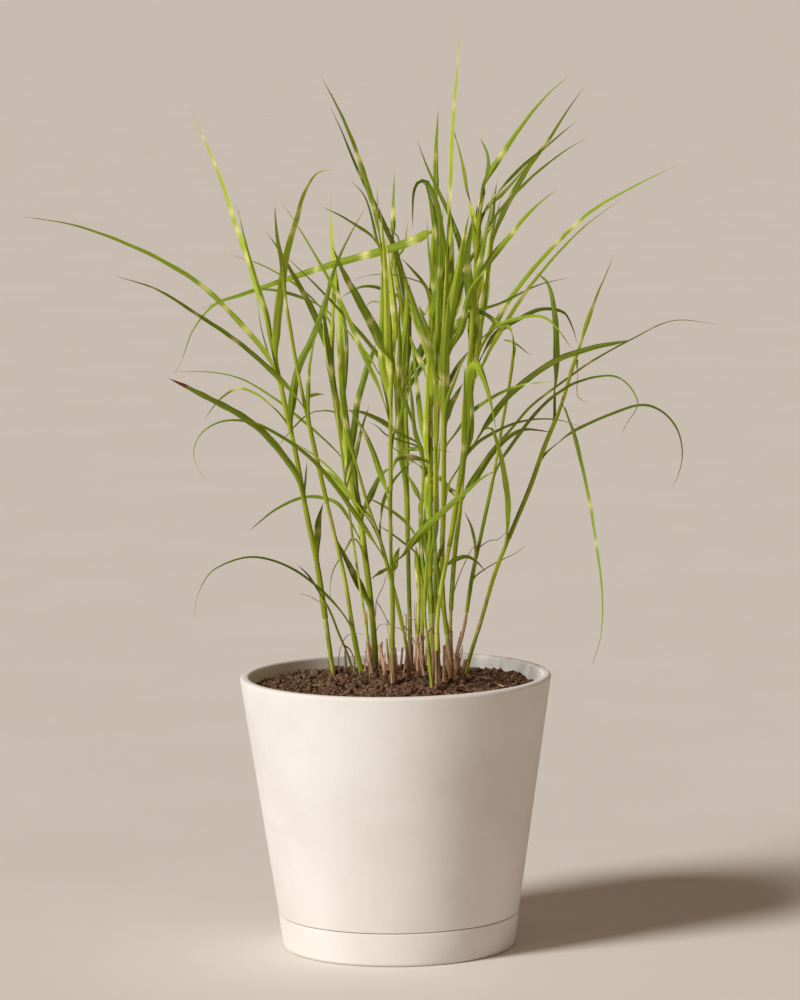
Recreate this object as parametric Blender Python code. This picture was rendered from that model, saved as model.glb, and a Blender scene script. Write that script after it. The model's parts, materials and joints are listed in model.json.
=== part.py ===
"""Zebra grass growing in a tapered round planter with a flush saucer.

Metres, +Z up, the front of the plant towards -Y. The origin is the centre of the saucer's flat
underside. Every stem, leaf, stub and piece of the planter is a closed solid of its own, and the
small leaves of a stem are fused to it.
"""
import math

import bmesh
import bpy
import numpy as np
from mathutils import Vector
from mathutils.kdtree import KDTree

MM = 0.001
GAP = 0.3 * MM                      # space kept between pieces that touch

# Planter and soil.
ROUND_SIDES = 30
SAUCER_HEIGHT = 34.0 * MM
SAUCER_FOOT_RADIUS = 117.0 * MM
SAUCER_RIM_RADIUS = 120.6 * MM
SAUCER_WALL = 5.8 * MM
SAUCER_FLOOR = 6.0 * MM
POT_HEIGHT = 274.0 * MM
POT_RIM_RADIUS = 156.0 * MM
POT_WALL = 9.5 * MM
POT_FLOOR = 22.0 * MM
POT_FLOOR_RADIUS = 103.0 * MM
DRAIN_RADIUS = 12.0 * MM
EDGE = 3.0 * MM                     # rounding of the rim and of the foot
SOIL_EDGE_HEIGHT = 259.0 * MM
SOIL_MOUND = 14.0 * MM              # how far the soil rises around the stems
SOIL_MOUND_RADIUS = 90.0 * MM
SOIL_CLEARANCE = 0.5 * MM

# Stems.
STEM_SIDES = 5
STEM_DEPTH_IN_SOIL = 10.0 * MM
STEM_STATION = 62.0 * MM            # distance between the sections of a stem
NODE_SPACING = 105.0 * MM           # distance between a stem's swollen nodes
POCKET_CLEARANCE = 1.2 * MM

# Leaves.
LEAF_STATION = 64.0 * MM            # distance between the sections of a straight leaf
LEAF_BEND = 0.8                    # turn between the sections of a bent leaf, radians
LEAST_SECTIONS = 7
TWIST_SOFTENING = 6                 # how often a blade's direction across is evened out
LEAF_THICKNESS = 1.1 * MM           # through the midrib
LEAF_TIP_WIDTH = 0.7 * MM
LEAF_BASE_SHARE = 0.42              # width where the leaf leaves its stem, as a share of the widest
LEAF_WIDEST = 0.24                  # where it is widest, as a share of its length
LEAF_FOLD = 0.16                    # how far the edges rise above the midrib, as a share of width
LEAF_TWIST = 0.55                   # turn of the blade along its length, radians
CLEAR_OF_STEM = 1.8 * MM            # from a stem's skin to the foot of a separate leaf

# How the leaves are eased apart.
STRAND_STEP = 9.0 * MM              # distance between the points that are compared
NEAR_FOOT = 30.0 * MM               # a leaf may be this close to its own stem at its foot
SPARE = 1.6 * MM                    # space left between two blades that cross
REACH = 16.0 * MM                   # no two blades further apart than this can touch
EASING_ROUNDS = 60
LARGEST_PUSH = 3.0 * MM
HELD_POINTS = 3                     # points at a leaf's foot that don't move

# The places below are readings (across, up) in millimetres on the upright plane through the
# planter's axis, as seen by an eye straight in front. Each is slid along the line of sight to
# its own depth, so that the plant has the same outline from the front at any depth.
EYE = np.array([0.0068, -4.9, 1.021])

# name: (foot x, foot y, depth at the top, width at the foot, width at the top, readings)
STEMS = {
    "stem_01": (-63, 50, 70, 5.6, 4.2, [
        (-65, 296), (-70, 336), (-77, 387), (-87, 440), (-95, 490), (-107, 550), (-117, 600)]),
    "stem_02": (-43, 62, 30, 2.6, 2.0, [
        (-46, 290), (-56, 315), (-66, 341), (-78, 362)]),
    "stem_03": (-34, 40, -20, 5.2, 3.4, [
        (-37, 290), (-42, 320), (-50, 374), (-59, 415), (-72, 475), (-83, 528), (-94, 585),
        (-104, 650)]),
    "stem_04": (-24, 18, 60, 3.2, 2.4, [
        (-27, 304), (-30, 331), (-37, 382), (-43, 429), (-50, 490), (-57, 560)]),
    "stem_05": (-20, 56, 130, 6.0, 5.0, [
        (-21, 310), (-24, 350), (-30, 405), (-36, 455), (-45, 492), (-52, 531), (-59, 580),
        (-57, 640)]),
    "stem_06": (-2, -38, -110, 6.0, 4.0, [
        (-3, 296), (-2, 336), (-3, 405), (-2, 475), (-1, 543), (1, 590), (-3, 650), (-8, 705)]),
    "stem_07": (14, -24, -50, 4.6, 3.6, [
        (12, 292), (6, 330), (-4, 372), (-14, 411), (-24, 440), (-37, 488)]),
    "stem_08": (15, 78, 165, 5.0, 5.0, [
        (15, 305), (14.5, 360), (14, 407), (13, 476), (9, 535), (16, 590), (12, 635), (2, 692)]),
    "stem_09": (20, 36, 40, 4.6, 4.0, [(23, 320), (24.5, 370), (22, 401)]),
    "stem_10": (28, 54, 66, 4.6, 3.2, [
        (27, 314), (28, 336), (27, 390), (27, 430), (31, 480), (22, 524)]),
    "stem_11": (36, -56, -66, 4.0, 3.2, [(34, 284), (32, 308), (30, 335), (32, 381)]),
    "stem_12": (42, -38, -140, 5.2, 4.4, [
        (42, 321), (47, 361), (57, 410), (66, 466), (73, 510), (75, 551), (80, 610), (84, 660),
        (88, 715), (90, 742)]),
    "stem_13": (38, 14, 60, 5.4, 5.0, [
        (36.5, 330), (36, 376), (37, 440), (38, 499), (38, 568), (40, 620), (42, 680),
        (44, 718)]),
    "stem_14": (44, -10, -50, 4.2, 3.2, [
        (41, 342), (41, 400), (42, 470), (44, 540), (48, 610), (51, 668)]),
    "stem_15": (56, -20, -95, 5.2, 4.0, [
        (52, 313), (49, 342), (48, 389), (50, 440), (51, 492), (52, 550), (52, 610), (56, 670),
        (58, 716)]),
    "stem_16": (56, 36, 140, 4.8, 4.0, [
        (55, 313), (60, 388), (66, 436), (72, 492), (78, 550), (87, 600), (93, 645), (99, 700)]),
    "stem_17": (60, 62, 62, 4.6, 3.6, [
        (61, 290), (68, 315), (78, 372), (88, 417), (100, 471), (109, 520), (118, 569),
        (123, 606)]),
    "stem_18": (70, 36, -14, 4.8, 3.6, [
        (75, 292), (86, 326), (101, 375), (118, 417), (136, 459), (151, 500), (168, 541),
        (181, 583), (187, 600)]),
}

# name: (stem, reading of its height there, width, depth of its tip, roll in degrees, readings)
LEAVES = {
    "leaf_01": ("stem_01", 596, 8.5, 160, 38, [
        (-122, 620), (-131, 655), (-141, 690), (-153, 725), (-165, 765), (-178, 800),
        (-195, 840)]),
    "leaf_02": ("stem_01", 584, 10.0, -60, -40, [
        (-114, 600), (-109, 650), (-100, 700), (-92, 725), (-85, 750), (-78, 765), (-70, 775),
        (-55, 779)]),
    "leaf_03": ("stem_01", 568, 8.5, 10, 42, [
        (-124, 595), (-147, 624), (-185, 663), (-224, 689), (-267, 710), (-314, 727),
        (-362, 736)]),
    "leaf_04": ("stem_03", 540, 6.0, -140, -44, [
        (-98, 556), (-117, 578), (-151, 609), (-191, 637), (-232, 663), (-272, 676)]),
    "leaf_05": ("stem_13", 716, 10.0, 215, -38, [
        (19, 706), (-10, 697), (-39, 690), (-68, 682), (-106, 670), (-145, 657), (-174, 647),
        (-196, 622), (-209, 589), (-216, 578)]),
    "leaf_06": ("stem_06", 524, 8.0, -80, 42, [
        (-12, 558), (-27, 592), (-38, 619), (-53, 654), (-70, 686), (-94, 728), (-107, 748)]),
    "leaf_07": ("stem_06", 585, 10.5, -215, -36, [
        (-10, 600), (-15, 617), (-30, 648), (-45, 676), (-57, 703)]),
    "leaf_08": ("stem_01", 518, 9.0, -130, 36, [
        (-99, 548), (-93, 582), (-78, 613), (-66, 645), (-54, 684), (-37, 718), (-23, 741)]),
    "leaf_09": ("stem_10", 522, 7.0, -30, 40, [
        (12, 548), (0, 574), (-20, 602), (-45, 632), (-75, 665), (-95, 685), (-108, 698)]),
    "leaf_10": ("stem_01", 448, 11.5, -100, 36, [
        (-96, 475), (-108, 493), (-128, 517), (-153, 536), (-188, 555), (-222, 574)]),
    "leaf_11": ("stem_05", 388, 8.0, 170, 38, [
        (-33, 407), (-44, 429), (-56, 446), (-72, 452), (-90, 452), (-116, 441), (-145, 419)]),
    "leaf_12": ("stem_05", 480, 6.5, 160, 44, [
        (-53, 495), (-72, 514), (-90, 530), (-117, 552), (-150, 572), (-180, 579), (-216, 580)]),
    "leaf_13": ("stem_03", 322, 6.0, -120, -40, [
        (-63, 349), (-80, 366), (-97, 379), (-120, 390), (-143, 394), (-165, 389), (-183, 379),
        (-192, 366), (-198, 350), (-200, 333)]),
    "leaf_14": ("stem_07", 389, 10.0, -170, -36, [
        (-17, 402), (-35, 431), (-55, 461), (-81, 492), (-108, 513), (-140, 529), (-170, 530),
        (-191, 517), (-198, 497), (-189, 475), (-183, 471)]),
    "leaf_15": ("stem_06", 383, 10.0, -150, 38, [
        (8, 390), (20, 407), (36, 425), (52, 440), (70, 455), (90, 471), (106, 478)]),
    "leaf_16": ("stem_16", 425, 10.0, 180, 36, [
        (66, 440), (82, 470), (98, 494), (114, 510), (130, 518), (146, 517), (160, 514)]),
    "leaf_17": ("stem_16", 446, 5.0, 200, -46, [
        (75, 462), (95, 492), (116, 515), (138, 540), (167, 562), (197, 583), (239, 606),
        (280, 624), (323, 620)]),
    "leaf_18": ("stem_17", 472, 6.5, -175, -42, [
        (105, 482), (121, 505), (141, 531), (161, 550), (188, 565), (225, 568), (244, 543),
        (233, 522), (228, 512)]),
    "leaf_19": ("stem_15", 446, 8.0, 50, -40, [
        (54, 459), (65, 479), (82, 502), (104, 516), (132, 526), (162, 527), (188, 520)]),
    "leaf_20": ("stem_12", 492, 8.5, -50, 40, [
        (80, 502), (93, 521), (112, 548), (137, 570), (163, 587), (198, 599), (240, 606)]),
    "leaf_21": ("stem_08", 548, 7.0, 20, -40, [
        (21, 566), (42, 597), (59, 611), (76, 631), (111, 644), (147, 661), (181, 669)]),
    "leaf_22": ("stem_18", 402, 9.5, -60, 34, [
        (113, 425), (113.5, 445), (110, 475), (104, 503), (97, 520), (88, 515), (80, 500)]),
    "leaf_23": ("stem_18", 490, 6.0, 130, 40, [
        (160, 500), (180, 515), (212, 530), (250, 541), (270, 533), (284, 515), (288.5, 490),
        (283, 467), (277, 456)]),
    "leaf_24": ("stem_18", 541, 7.0, -150, -42, [
        (178, 522), (187, 485), (195, 445), (202, 398), (207, 350), (205, 308), (196, 278)]),
    "leaf_25": ("stem_18", 526, 8.5, 90, 36, [
        (161, 545), (163, 580), (163, 615), (160, 645), (154, 665), (143, 674)]),
    "leaf_26": ("stem_18", 598, 8.0, -70, -38, [
        (190, 610), (199, 634), (207, 655), (215, 673), (222, 691)]),
    "leaf_27": ("stem_16", 596, 8.0, 60, 40, [
        (103, 622), (116, 645), (130, 664), (146, 683), (162, 700), (198, 733), (240, 757),
        (287, 779)]),
    "leaf_28": ("stem_12", 556, 8.5, -210, -40, [
        (90, 580), (100, 600), (115, 625), (133, 652), (148, 671), (170, 696), (195, 720),
        (232, 747)]),
    "leaf_29": ("stem_16", 576, 7.0, 215, 42, [
        (95, 600), (108, 617), (128, 629), (150, 638), (172, 634), (180, 620), (185, 602)]),
    "leaf_30": ("stem_12", 655, 9.0, -195, 38, [
        (94, 678), (105, 694), (118, 710), (133, 728), (150, 744), (168, 757)]),
    "leaf_31": ("stem_16", 694, 11.0, 190, -36, [
        (112, 730), (126, 757), (141, 781), (158, 803), (176, 831), (195, 858)]),
    "leaf_32": ("stem_12", 726, 7.5, -60, -42, [
        (103, 747), (118, 764), (133, 779), (148, 791), (186, 823)]),
    "leaf_33": ("stem_12", 738, 8.0, -230, 36, [
        (94, 760), (103, 777), (122, 806), (140, 830), (158, 850), (182, 870)]),
    "leaf_34": ("stem_12", 596, 7.0, 70, -40, [
        (79, 640), (71, 700), (62, 728), (52, 751), (38, 781), (28, 808)]),
    "leaf_35": ("stem_14", 664, 9.0, -85, 48, [
        (52, 690), (49, 725), (43, 752), (33, 767), (26, 757), (23.5, 735), (23, 718)]),
    "leaf_36": ("stem_08", 586, 8.0, 60, -38, [
        (17, 640), (6, 698), (-3, 720), (-12, 740), (-33, 785), (-45, 815), (-57, 841)]),
    "leaf_37": ("stem_12", 486, 11.0, -215, 34, [
        (72, 520), (74, 550), (77, 578), (83, 585), (91, 572), (98, 548), (104, 514)]),
}

# Small leaves fused to their stem: (stem, height, width, depth of its tip, roll, readings)
SMALL_LEAVES = [
    ("stem_01", 600, 5.0, 0, 40, [(-124, 640), (-133, 670), (-143, 708), (-151, 747)]),
    ("stem_01", 390, 8.0, 20, -38, [(-75, 415), (-74, 428), (-69.5, 448)]),
    ("stem_01", 524, 5.0, 150, 42, [
        (-117, 542), (-134, 556), (-152, 562), (-170, 552), (-187, 531)]),
    ("stem_02", 350, 3.5, -10, -40, [(-85, 374), (-97, 386)]),
    ("stem_03", 528, 5.0, -60, 44, [(-83, 548), (-82, 580), (-73, 625)]),
    ("stem_03", 645, 6.0, -80, -36, [(-107, 690), (-111, 715), (-113, 746)]),
    ("stem_05", 630, 6.5, 165, 38, [(-56, 665), (-58, 722), (-57, 752)]),
    ("stem_05", 634, 3.5, 110, -40, [
        (-71, 644), (-102, 657), (-130, 661), (-172, 648), (-190, 641)]),
    ("stem_05", 625, 3.5, 200, 40, [(-75, 648), (-97, 667), (-128, 685), (-160, 696)]),
    ("stem_05", 580, 8.0, 40, -38, [
        (-66, 612), (-78, 642), (-93, 671), (-112, 704), (-122, 718)]),
    ("stem_05", 430, 8.5, 10, 36, [(-24, 450), (-15, 470), (-7, 479), (2, 481)]),
    ("stem_05", 338, 8.5, -10, -36, [(-36, 367), (-45, 386), (-58, 413)]),
    ("stem_06", 366, 8.0, -16, -36, [(2, 385), (6, 402)]),
    ("stem_06", 381, 4.0, -80, 40, [(-14, 376), (-24, 369)]),
    ("stem_06", 696, 4.5, -170, -40, [(-18, 712), (-31, 722), (-48, 733), (-67, 742)]),
    ("stem_06", 700, 6.5, -200, 38, [
        (-18, 748), (-32, 795), (-46, 831), (-65, 870)]),
    ("stem_07", 411, 4.5, -30, 40, [
        (-22, 425), (-40, 450), (-60, 478), (-80, 496), (-110, 515)]),
    ("stem_07", 412, 6.5, -8, -40, [(-12, 432), (-7, 453), (5, 473), (22, 489)]),
    ("stem_07", 480, 6.0, -120, 38, [(-45, 520), (-50, 550), (-52, 585)]),
    ("stem_08", 499, 6.0, 80, 42, [(25, 500), (38, 500), (58, 496)]),
    ("stem_08", 650, 5.0, 120, -40, [(-15, 662), (-30, 662), (-50, 651)]),
    ("stem_08", 690, 6.0, 230, 36, [(4, 710), (3.5, 740), (6, 778)]),
    ("stem_10", 405, 5.5, 30, 40, [(10, 428), (-12, 444), (-34, 456)]),
    ("stem_10", 430, 7.5, 100, -36, [(27, 448), (20, 465), (13, 478)]),
    ("stem_10", 505, 8.5, 10, 38, [(3, 517), (-12, 528), (-32, 537), (-49, 539)]),
    ("stem_12", 600, 4.5, -190, 40, [
        (92, 610), (106, 621), (127, 629), (145, 631), (158, 626), (180, 597)]),
    ("stem_12", 690, 4.5, -250, -38, [
        (100, 722), (125, 752), (150, 775), (180, 797), (197, 806)]),
    ("stem_12", 732, 6.0, -40, 40, [(93, 755), (98, 780), (97, 792), (90, 809)]),
    ("stem_12", 710, 4.0, -70, -42, [(82, 735), (78, 755), (73, 785), (64, 819)]),
    ("stem_13", 484, 7.5, -20, -38, [(16, 492), (4, 490), (0, 478)]),
    ("stem_13", 590, 7.0, 110, 40, [(33, 612), (27, 622), (17, 648)]),
    ("stem_13", 652, 4.0, 20, 44, [(33, 664), (20, 680), (11, 690)]),
    ("stem_13", 700, 7.0, 100, -36, [(47, 755), (47.5, 790), (50, 838)]),
    ("stem_14", 370, 5.5, 20, 40, [(47, 377), (59, 387), (72, 392), (84, 385), (92, 374)]),
    ("stem_14", 560, 8.0, -100, 38, [(36, 605), (27, 632), (15, 672)]),
    ("stem_15", 505, 7.0, -20, -40, [(57, 536), (65, 552), (71, 565)]),
    ("stem_15", 500, 5.5, -175, 40, [(63, 514), (78, 535), (97, 549), (127, 562), (160, 565)]),
    ("stem_15", 700, 6.0, -60, 36, [(60, 750), (62, 800), (67, 860), (70, 890), (72, 922)]),
    ("stem_16", 451, 5.5, 160, 42, [(48, 467), (35, 478), (24, 489)]),
    ("stem_16", 698, 5.0, 110, -40, [(103, 730), (107, 766)]),
    ("stem_17", 391, 4.5, 30, 40, [(81, 401), (77, 421), (70, 438)]),
    ("stem_17", 600, 6.0, 110, -40, [(121, 615), (105, 626), (90, 636), (78, 634)]),
]

# Dry stubs left by old stems: (x, y, height above the soil, lean across, lean in depth, width)
STUBS = {
    "stub_01": (-10, 8, 30, -6, 4, 5.0),
    "stub_02": (64, -12, 24, 7, -5, 4.4),
}

COLORS = {
    "pot": (0.78, 0.74, 0.66),
    "soil": (0.10, 0.06, 0.04),
    "stem": (0.36, 0.42, 0.08),
    "leaf": (0.24, 0.34, 0.05),
    "dry": (0.48, 0.36, 0.20),
}
ROUGHNESS = {"pot": 0.8, "soil": 0.95, "stem": 0.45, "leaf": 0.5, "dry": 0.8}


def clear_scene():
    for old in list(bpy.data.objects):
        bpy.data.objects.remove(old, do_unlink=True)


def material(slot):
    found = bpy.data.materials.get(slot)
    if found:
        return found
    made = bpy.data.materials.new(slot)
    made.use_nodes = True
    shader = made.node_tree.nodes["Principled BSDF"]
    shader.inputs["Base Color"].default_value = (*COLORS[slot], 1.0)
    shader.inputs["Roughness"].default_value = ROUGHNESS[slot]
    return made


def new_object(name, bm, slot):
    bmesh.ops.recalc_face_normals(bm, faces=bm.faces)
    mesh = bpy.data.meshes.new(name)
    bm.to_mesh(mesh)
    bm.free()
    made = bpy.data.objects.new(name, mesh)
    made.data.materials.append(material(slot))
    bpy.context.scene.collection.objects.link(made)
    return made


def turned(name, profile, slot):
    """A solid of revolution about Z from a closed outline, or one that ends on the axis."""
    bm = bmesh.new()
    rings = []
    for radius, height in profile:
        if radius < 1e-6:
            rings.append([bm.verts.new((0, 0, height))])
            continue
        ring = []
        for side in range(ROUND_SIDES):
            angle = 2 * math.pi * side / ROUND_SIDES
            ring.append(bm.verts.new((radius * math.cos(angle), radius * math.sin(angle), height)))
        rings.append(ring)
    pairs = list(zip(rings, rings[1:]))
    if len(rings[0]) > 1:
        pairs.append((rings[-1], rings[0]))
    for low, high in pairs:
        for side in range(ROUND_SIDES):
            after = (side + 1) % ROUND_SIDES
            corners = [low[side % len(low)], low[after % len(low)],
                       high[after % len(high)], high[side % len(high)]]
            bm.faces.new(list(dict.fromkeys(corners)))
    made = new_object(name, bm, slot)
    made.data.shade_smooth()
    made.data.set_sharp_from_angle(angle=math.radians(35))
    return made


def pot_inner_radius(height):
    low, high = POT_FLOOR_RADIUS + 4 * MM, POT_RIM_RADIUS - POT_WALL
    share = (height - POT_FLOOR - 4 * MM) / (POT_HEIGHT - 4 * MM - POT_FLOOR - 4 * MM)
    return low + (high - low) * share


def make_saucer():
    inside = SAUCER_RIM_RADIUS - SAUCER_WALL
    return turned("saucer", [
        (0, 0), (SAUCER_FOOT_RADIUS - EDGE, 0), (SAUCER_FOOT_RADIUS, EDGE),
        (SAUCER_RIM_RADIUS, SAUCER_HEIGHT - GAP), (inside, SAUCER_HEIGHT - GAP),
        (inside - 2 * MM, SAUCER_FLOOR), (0, SAUCER_FLOOR)], "pot")


def make_pot():
    foot = SAUCER_RIM_RADIUS - SAUCER_WALL - 2 * MM - GAP
    rim_inside = POT_RIM_RADIUS - POT_WALL
    return turned("pot", [
        (DRAIN_RADIUS, SAUCER_FLOOR + GAP), (foot - EDGE, SAUCER_FLOOR + GAP),
        (foot - 1 * MM, SAUCER_FLOOR + EDGE), (foot + 1.6 * MM, SAUCER_HEIGHT),
        (SAUCER_RIM_RADIUS + 0.3 * MM, SAUCER_HEIGHT + GAP),
        (POT_RIM_RADIUS - 0.6 * MM, POT_HEIGHT - 4 * MM),
        (POT_RIM_RADIUS - 1 * MM, POT_HEIGHT - 1 * MM),
        (POT_RIM_RADIUS - 3.5 * MM, POT_HEIGHT), (rim_inside + 2.5 * MM, POT_HEIGHT - 0.4 * MM),
        (rim_inside, POT_HEIGHT - 4 * MM), (POT_FLOOR_RADIUS + 4 * MM, POT_FLOOR + 4 * MM),
        (POT_FLOOR_RADIUS, POT_FLOOR), (DRAIN_RADIUS, POT_FLOOR)], "pot")


def soil_height(x, y):
    return SOIL_EDGE_HEIGHT + SOIL_MOUND * math.exp(-(x * x + y * y) / SOIL_MOUND_RADIUS ** 2)


def make_soil():
    bottom = POT_FLOOR + GAP
    profile = [(0, bottom), (POT_FLOOR_RADIUS - SOIL_CLEARANCE, bottom),
               (pot_inner_radius(POT_FLOOR + 4 * MM) - SOIL_CLEARANCE, POT_FLOOR + 5 * MM),
               (pot_inner_radius(SOIL_EDGE_HEIGHT) - SOIL_CLEARANCE, SOIL_EDGE_HEIGHT)]
    for radius in (115 * MM, 85 * MM, 55 * MM, 25 * MM, 0):
        profile.append((radius, soil_height(radius, 0)))
    return turned("soil", profile, "soil")


def place(across, up, depth):
    """A reading in the upright plane, in metres, slid along the line of sight to its depth."""
    reading = np.array([across, 0.0, up])
    return EYE + (reading - EYE) * ((depth - EYE[1]) / -EYE[1])


def smooth_line(points, steps=10):
    """A smooth curve through the given points, with several steps between neighbours."""
    points = np.asarray(points, float)
    spans = np.sqrt(np.linalg.norm(np.diff(points, axis=0), axis=1))
    times = np.concatenate([[0], np.cumsum(spans)])
    slopes = np.gradient(points, times, axis=0)
    line = [points[0]]
    for left in range(len(points) - 1):
        span = times[left + 1] - times[left]
        for step in range(1, steps + 1):
            s = step / steps
            line.append((2 * s ** 3 - 3 * s * s + 1) * points[left]
                        + (s ** 3 - 2 * s * s + s) * span * slopes[left]
                        + (3 * s * s - 2 * s ** 3) * points[left + 1]
                        + (s ** 3 - s * s) * span * slopes[left + 1])
    return np.array(line)


def evenly(line, count):
    """The line again, with its points at equal distances."""
    lengths = np.concatenate([[0], np.cumsum(np.linalg.norm(np.diff(line, axis=0), axis=1))])
    wanted = np.linspace(0, lengths[-1], count)
    return np.stack([np.interp(wanted, lengths, line[:, k]) for k in range(line.shape[1])], axis=1)


def by_bend(line):
    """The line again, with its points closer together where it bends."""
    steps = np.diff(line, axis=0)
    lengths = np.linalg.norm(steps, axis=1)
    ahead = steps / lengths[:, None]
    turns = np.arccos(np.clip((ahead[1:] * ahead[:-1]).sum(axis=1), -1, 1))
    marks = np.cumsum(lengths / LEAF_STATION + np.append(turns, 0) / LEAF_BEND)
    marks = np.concatenate([[0], marks])
    wanted = np.linspace(0, marks[-1], max(LEAST_SECTIONS, 2 + round(marks[-1])))
    return np.stack([np.interp(wanted, marks, line[:, k]) for k in range(3)], axis=1)


def line_length(line):
    return float(np.linalg.norm(np.diff(line, axis=0), axis=1).sum())


def stem_reading(name, height):
    """Across, up and depth, in metres, where a stem's reading is at this height in mm."""
    _, foot_y, top_y, _, _, readings = STEMS[name]
    ups = [up for _, up in readings]
    share = np.clip((height - ups[0]) / (ups[-1] - ups[0]), 0, 1)
    across = np.interp(height, ups, [across for across, _ in readings])
    return np.array([across, height, foot_y + (top_y - foot_y) * share ** 1.2]) * MM


def stem_foot(name):
    """Where a stem leaves the soil, and the direction in which it leaves."""
    x, y = STEMS[name][0] * MM, STEMS[name][1] * MM
    ground = np.array([x, y, soil_height(x, y)])
    first = place(*stem_reading(name, STEMS[name][5][0][1]))
    return ground, (first - ground) / np.linalg.norm(first - ground)


def stem_line(name):
    ground, lean = stem_foot(name)
    points = [ground - lean * STEM_DEPTH_IN_SOIL, ground]
    points += [place(*stem_reading(name, up)) for _, up in STEMS[name][5]]
    return smooth_line(points)


def stem_radius(name, share):
    _, _, _, foot_width, top_width, _ = STEMS[name]
    return 0.5 * MM * (foot_width + (top_width - foot_width) * share)


def leaf_readings(leaf):
    """The leaf's line as (across, up, depth) in metres, from its stem to its tip."""
    stem, height, width, tip_depth, _, readings = leaf
    start = stem_reading(stem, height)
    flat = [start[:2]] + [np.array(pair) * MM for pair in readings]
    flat = smooth_line(flat)
    share = np.concatenate([[0], np.cumsum(np.linalg.norm(np.diff(flat, axis=0), axis=1))])
    share /= share[-1]
    depth = start[2] + (tip_depth * MM - start[2]) * share ** 1.5
    return np.column_stack([flat, depth])


def leaf_half_width(width, share):
    """Half the blade's width, in metres, at a share of its length."""
    if share < LEAF_WIDEST:
        rise = share / LEAF_WIDEST
        full = width * (LEAF_BASE_SHARE + (1 - LEAF_BASE_SHARE) * rise * (2 - rise))
    else:
        full = width * (1 - ((share - LEAF_WIDEST) / (1 - LEAF_WIDEST)) ** 1.7)
    return 0.5 * max(full * MM, LEAF_TIP_WIDTH)


class Strand:
    """A stem or a leaf as a row of points that can be eased apart in depth."""

    def __init__(self, name, parent, readings, half_widths, fixed):
        self.name = name
        self.parent = parent
        self.readings = readings
        self.half_widths = half_widths
        self.fixed = fixed
        self.shift = np.zeros(len(readings))

    def points(self):
        return [place(a, u, d + s) for (a, u, d), s in zip(self.readings, self.shift)]


def to_reading(point):
    """The reverse of place: the reading of a point, with its depth."""
    share = -EYE[1] / (point[1] - EYE[1])
    flat = EYE + (point - EYE) * share
    return np.array([flat[0], flat[2], point[1]])


def strand_of_stem(name):
    line = stem_line(name)
    line = evenly(line, max(8, int(line_length(line) / STRAND_STEP)))
    radii = [stem_radius(name, k / (len(line) - 1)) for k in range(len(line))]
    return Strand(name, None, np.array([to_reading(p) for p in line]), np.array(radii), True)


def strand_of_leaf(name, leaf, fused):
    readings = leaf_readings(leaf)
    readings = evenly(readings, max(8, int(line_length(readings) / STRAND_STEP)))
    count = len(readings)
    widths = np.array([leaf_half_width(leaf[2], k / (count - 1)) for k in range(count)])
    if not fused:
        side = 1 if leaf[3] * MM > readings[0, 2] else -1
        away = stem_radius(leaf[0], 0.5) + CLEAR_OF_STEM + widths[0] * 0.6
        fade = np.exp(-np.linspace(0, 1, count) * 3)
        readings[:, 2] += side * away * (0.4 + 0.6 * fade)
    return Strand(name, leaf[0], readings, widths, False)


def plant_tree(places):
    """A search tree of all the strands' points, with the strand and place of each."""
    tree = KDTree(sum(len(row) for row in places))
    owners = []
    for owner, row in enumerate(places):
        for k, point in enumerate(row):
            tree.insert(Vector(point), len(owners))
            owners.append((owner, k))
    tree.balance()
    return tree, owners


def soften(values, times):
    """Even out a row of values, leaving its two ends."""
    for _ in range(times):
        values[1:-1] = 0.25 * values[:-2] + 0.5 * values[1:-1] + 0.25 * values[2:]


def push_at(strands, owner, k, point, tree, owners):
    """How far one point has to move in depth to clear what is near it."""
    strand = strands[owner]
    push = 0.0
    for found, index, distance in tree.find_range(Vector(point), REACH):
        other, j = owners[index]
        rival = strands[other]
        if other == owner or (rival.name == strand.parent and k * STRAND_STEP < NEAR_FOOT):
            continue
        needed = 0.8 * (strand.half_widths[k] + rival.half_widths[j]) + SPARE
        if distance >= needed:
            continue
        ahead = point[1] - found[1]
        if abs(ahead) < 0.2 * MM:
            ahead = owner - other
        push += math.copysign((1.0 if rival.fixed else 0.6) * (needed - distance), ahead)
    return push


def ease_apart(strands):
    """Slide the leaves along the line of sight until none is too close to its neighbours."""
    for _ in range(EASING_ROUNDS):
        places = [strand.points() for strand in strands]
        tree, owners = plant_tree(places)
        for owner, strand in enumerate(strands):
            if strand.fixed:
                continue
            push = np.zeros(len(strand.shift))
            for k in range(HELD_POINTS, len(push)):
                push[k] = push_at(strands, owner, k, places[owner][k], tree, owners)
            push = np.clip(push, -LARGEST_PUSH, LARGEST_PUSH)
            soften(push, 6)
            strand.shift += push * np.minimum(1, np.arange(len(push)) / 5)
            soften(strand.shift, 2)


def section_frames(line):
    """For each point: the direction of growth, and the direction across the line of sight."""
    ahead = np.gradient(line, axis=0)
    ahead /= np.linalg.norm(ahead, axis=1)[:, None]
    sight = np.array([0.0, -1.0, 0.0])
    across = np.cross(ahead, sight)
    soften(across, TWIST_SOFTENING)
    across -= ahead * (across * ahead).sum(axis=1)[:, None]
    across /= np.maximum(np.linalg.norm(across, axis=1), 1e-6)[:, None]
    return ahead, across


def skin_sections(bm, sections):
    """Closed solid through rows of points with the same count, flat at both ends."""
    rows = [[bm.verts.new(p) for p in row] for row in sections]
    count = len(rows[0])
    for low, high in zip(rows, rows[1:]):
        for k in range(count):
            after = (k + 1) % count
            bm.faces.new((low[k], low[after], high[after], high[k]))
    bm.faces.new(rows[0][::-1])
    bm.faces.new(rows[-1])


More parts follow.
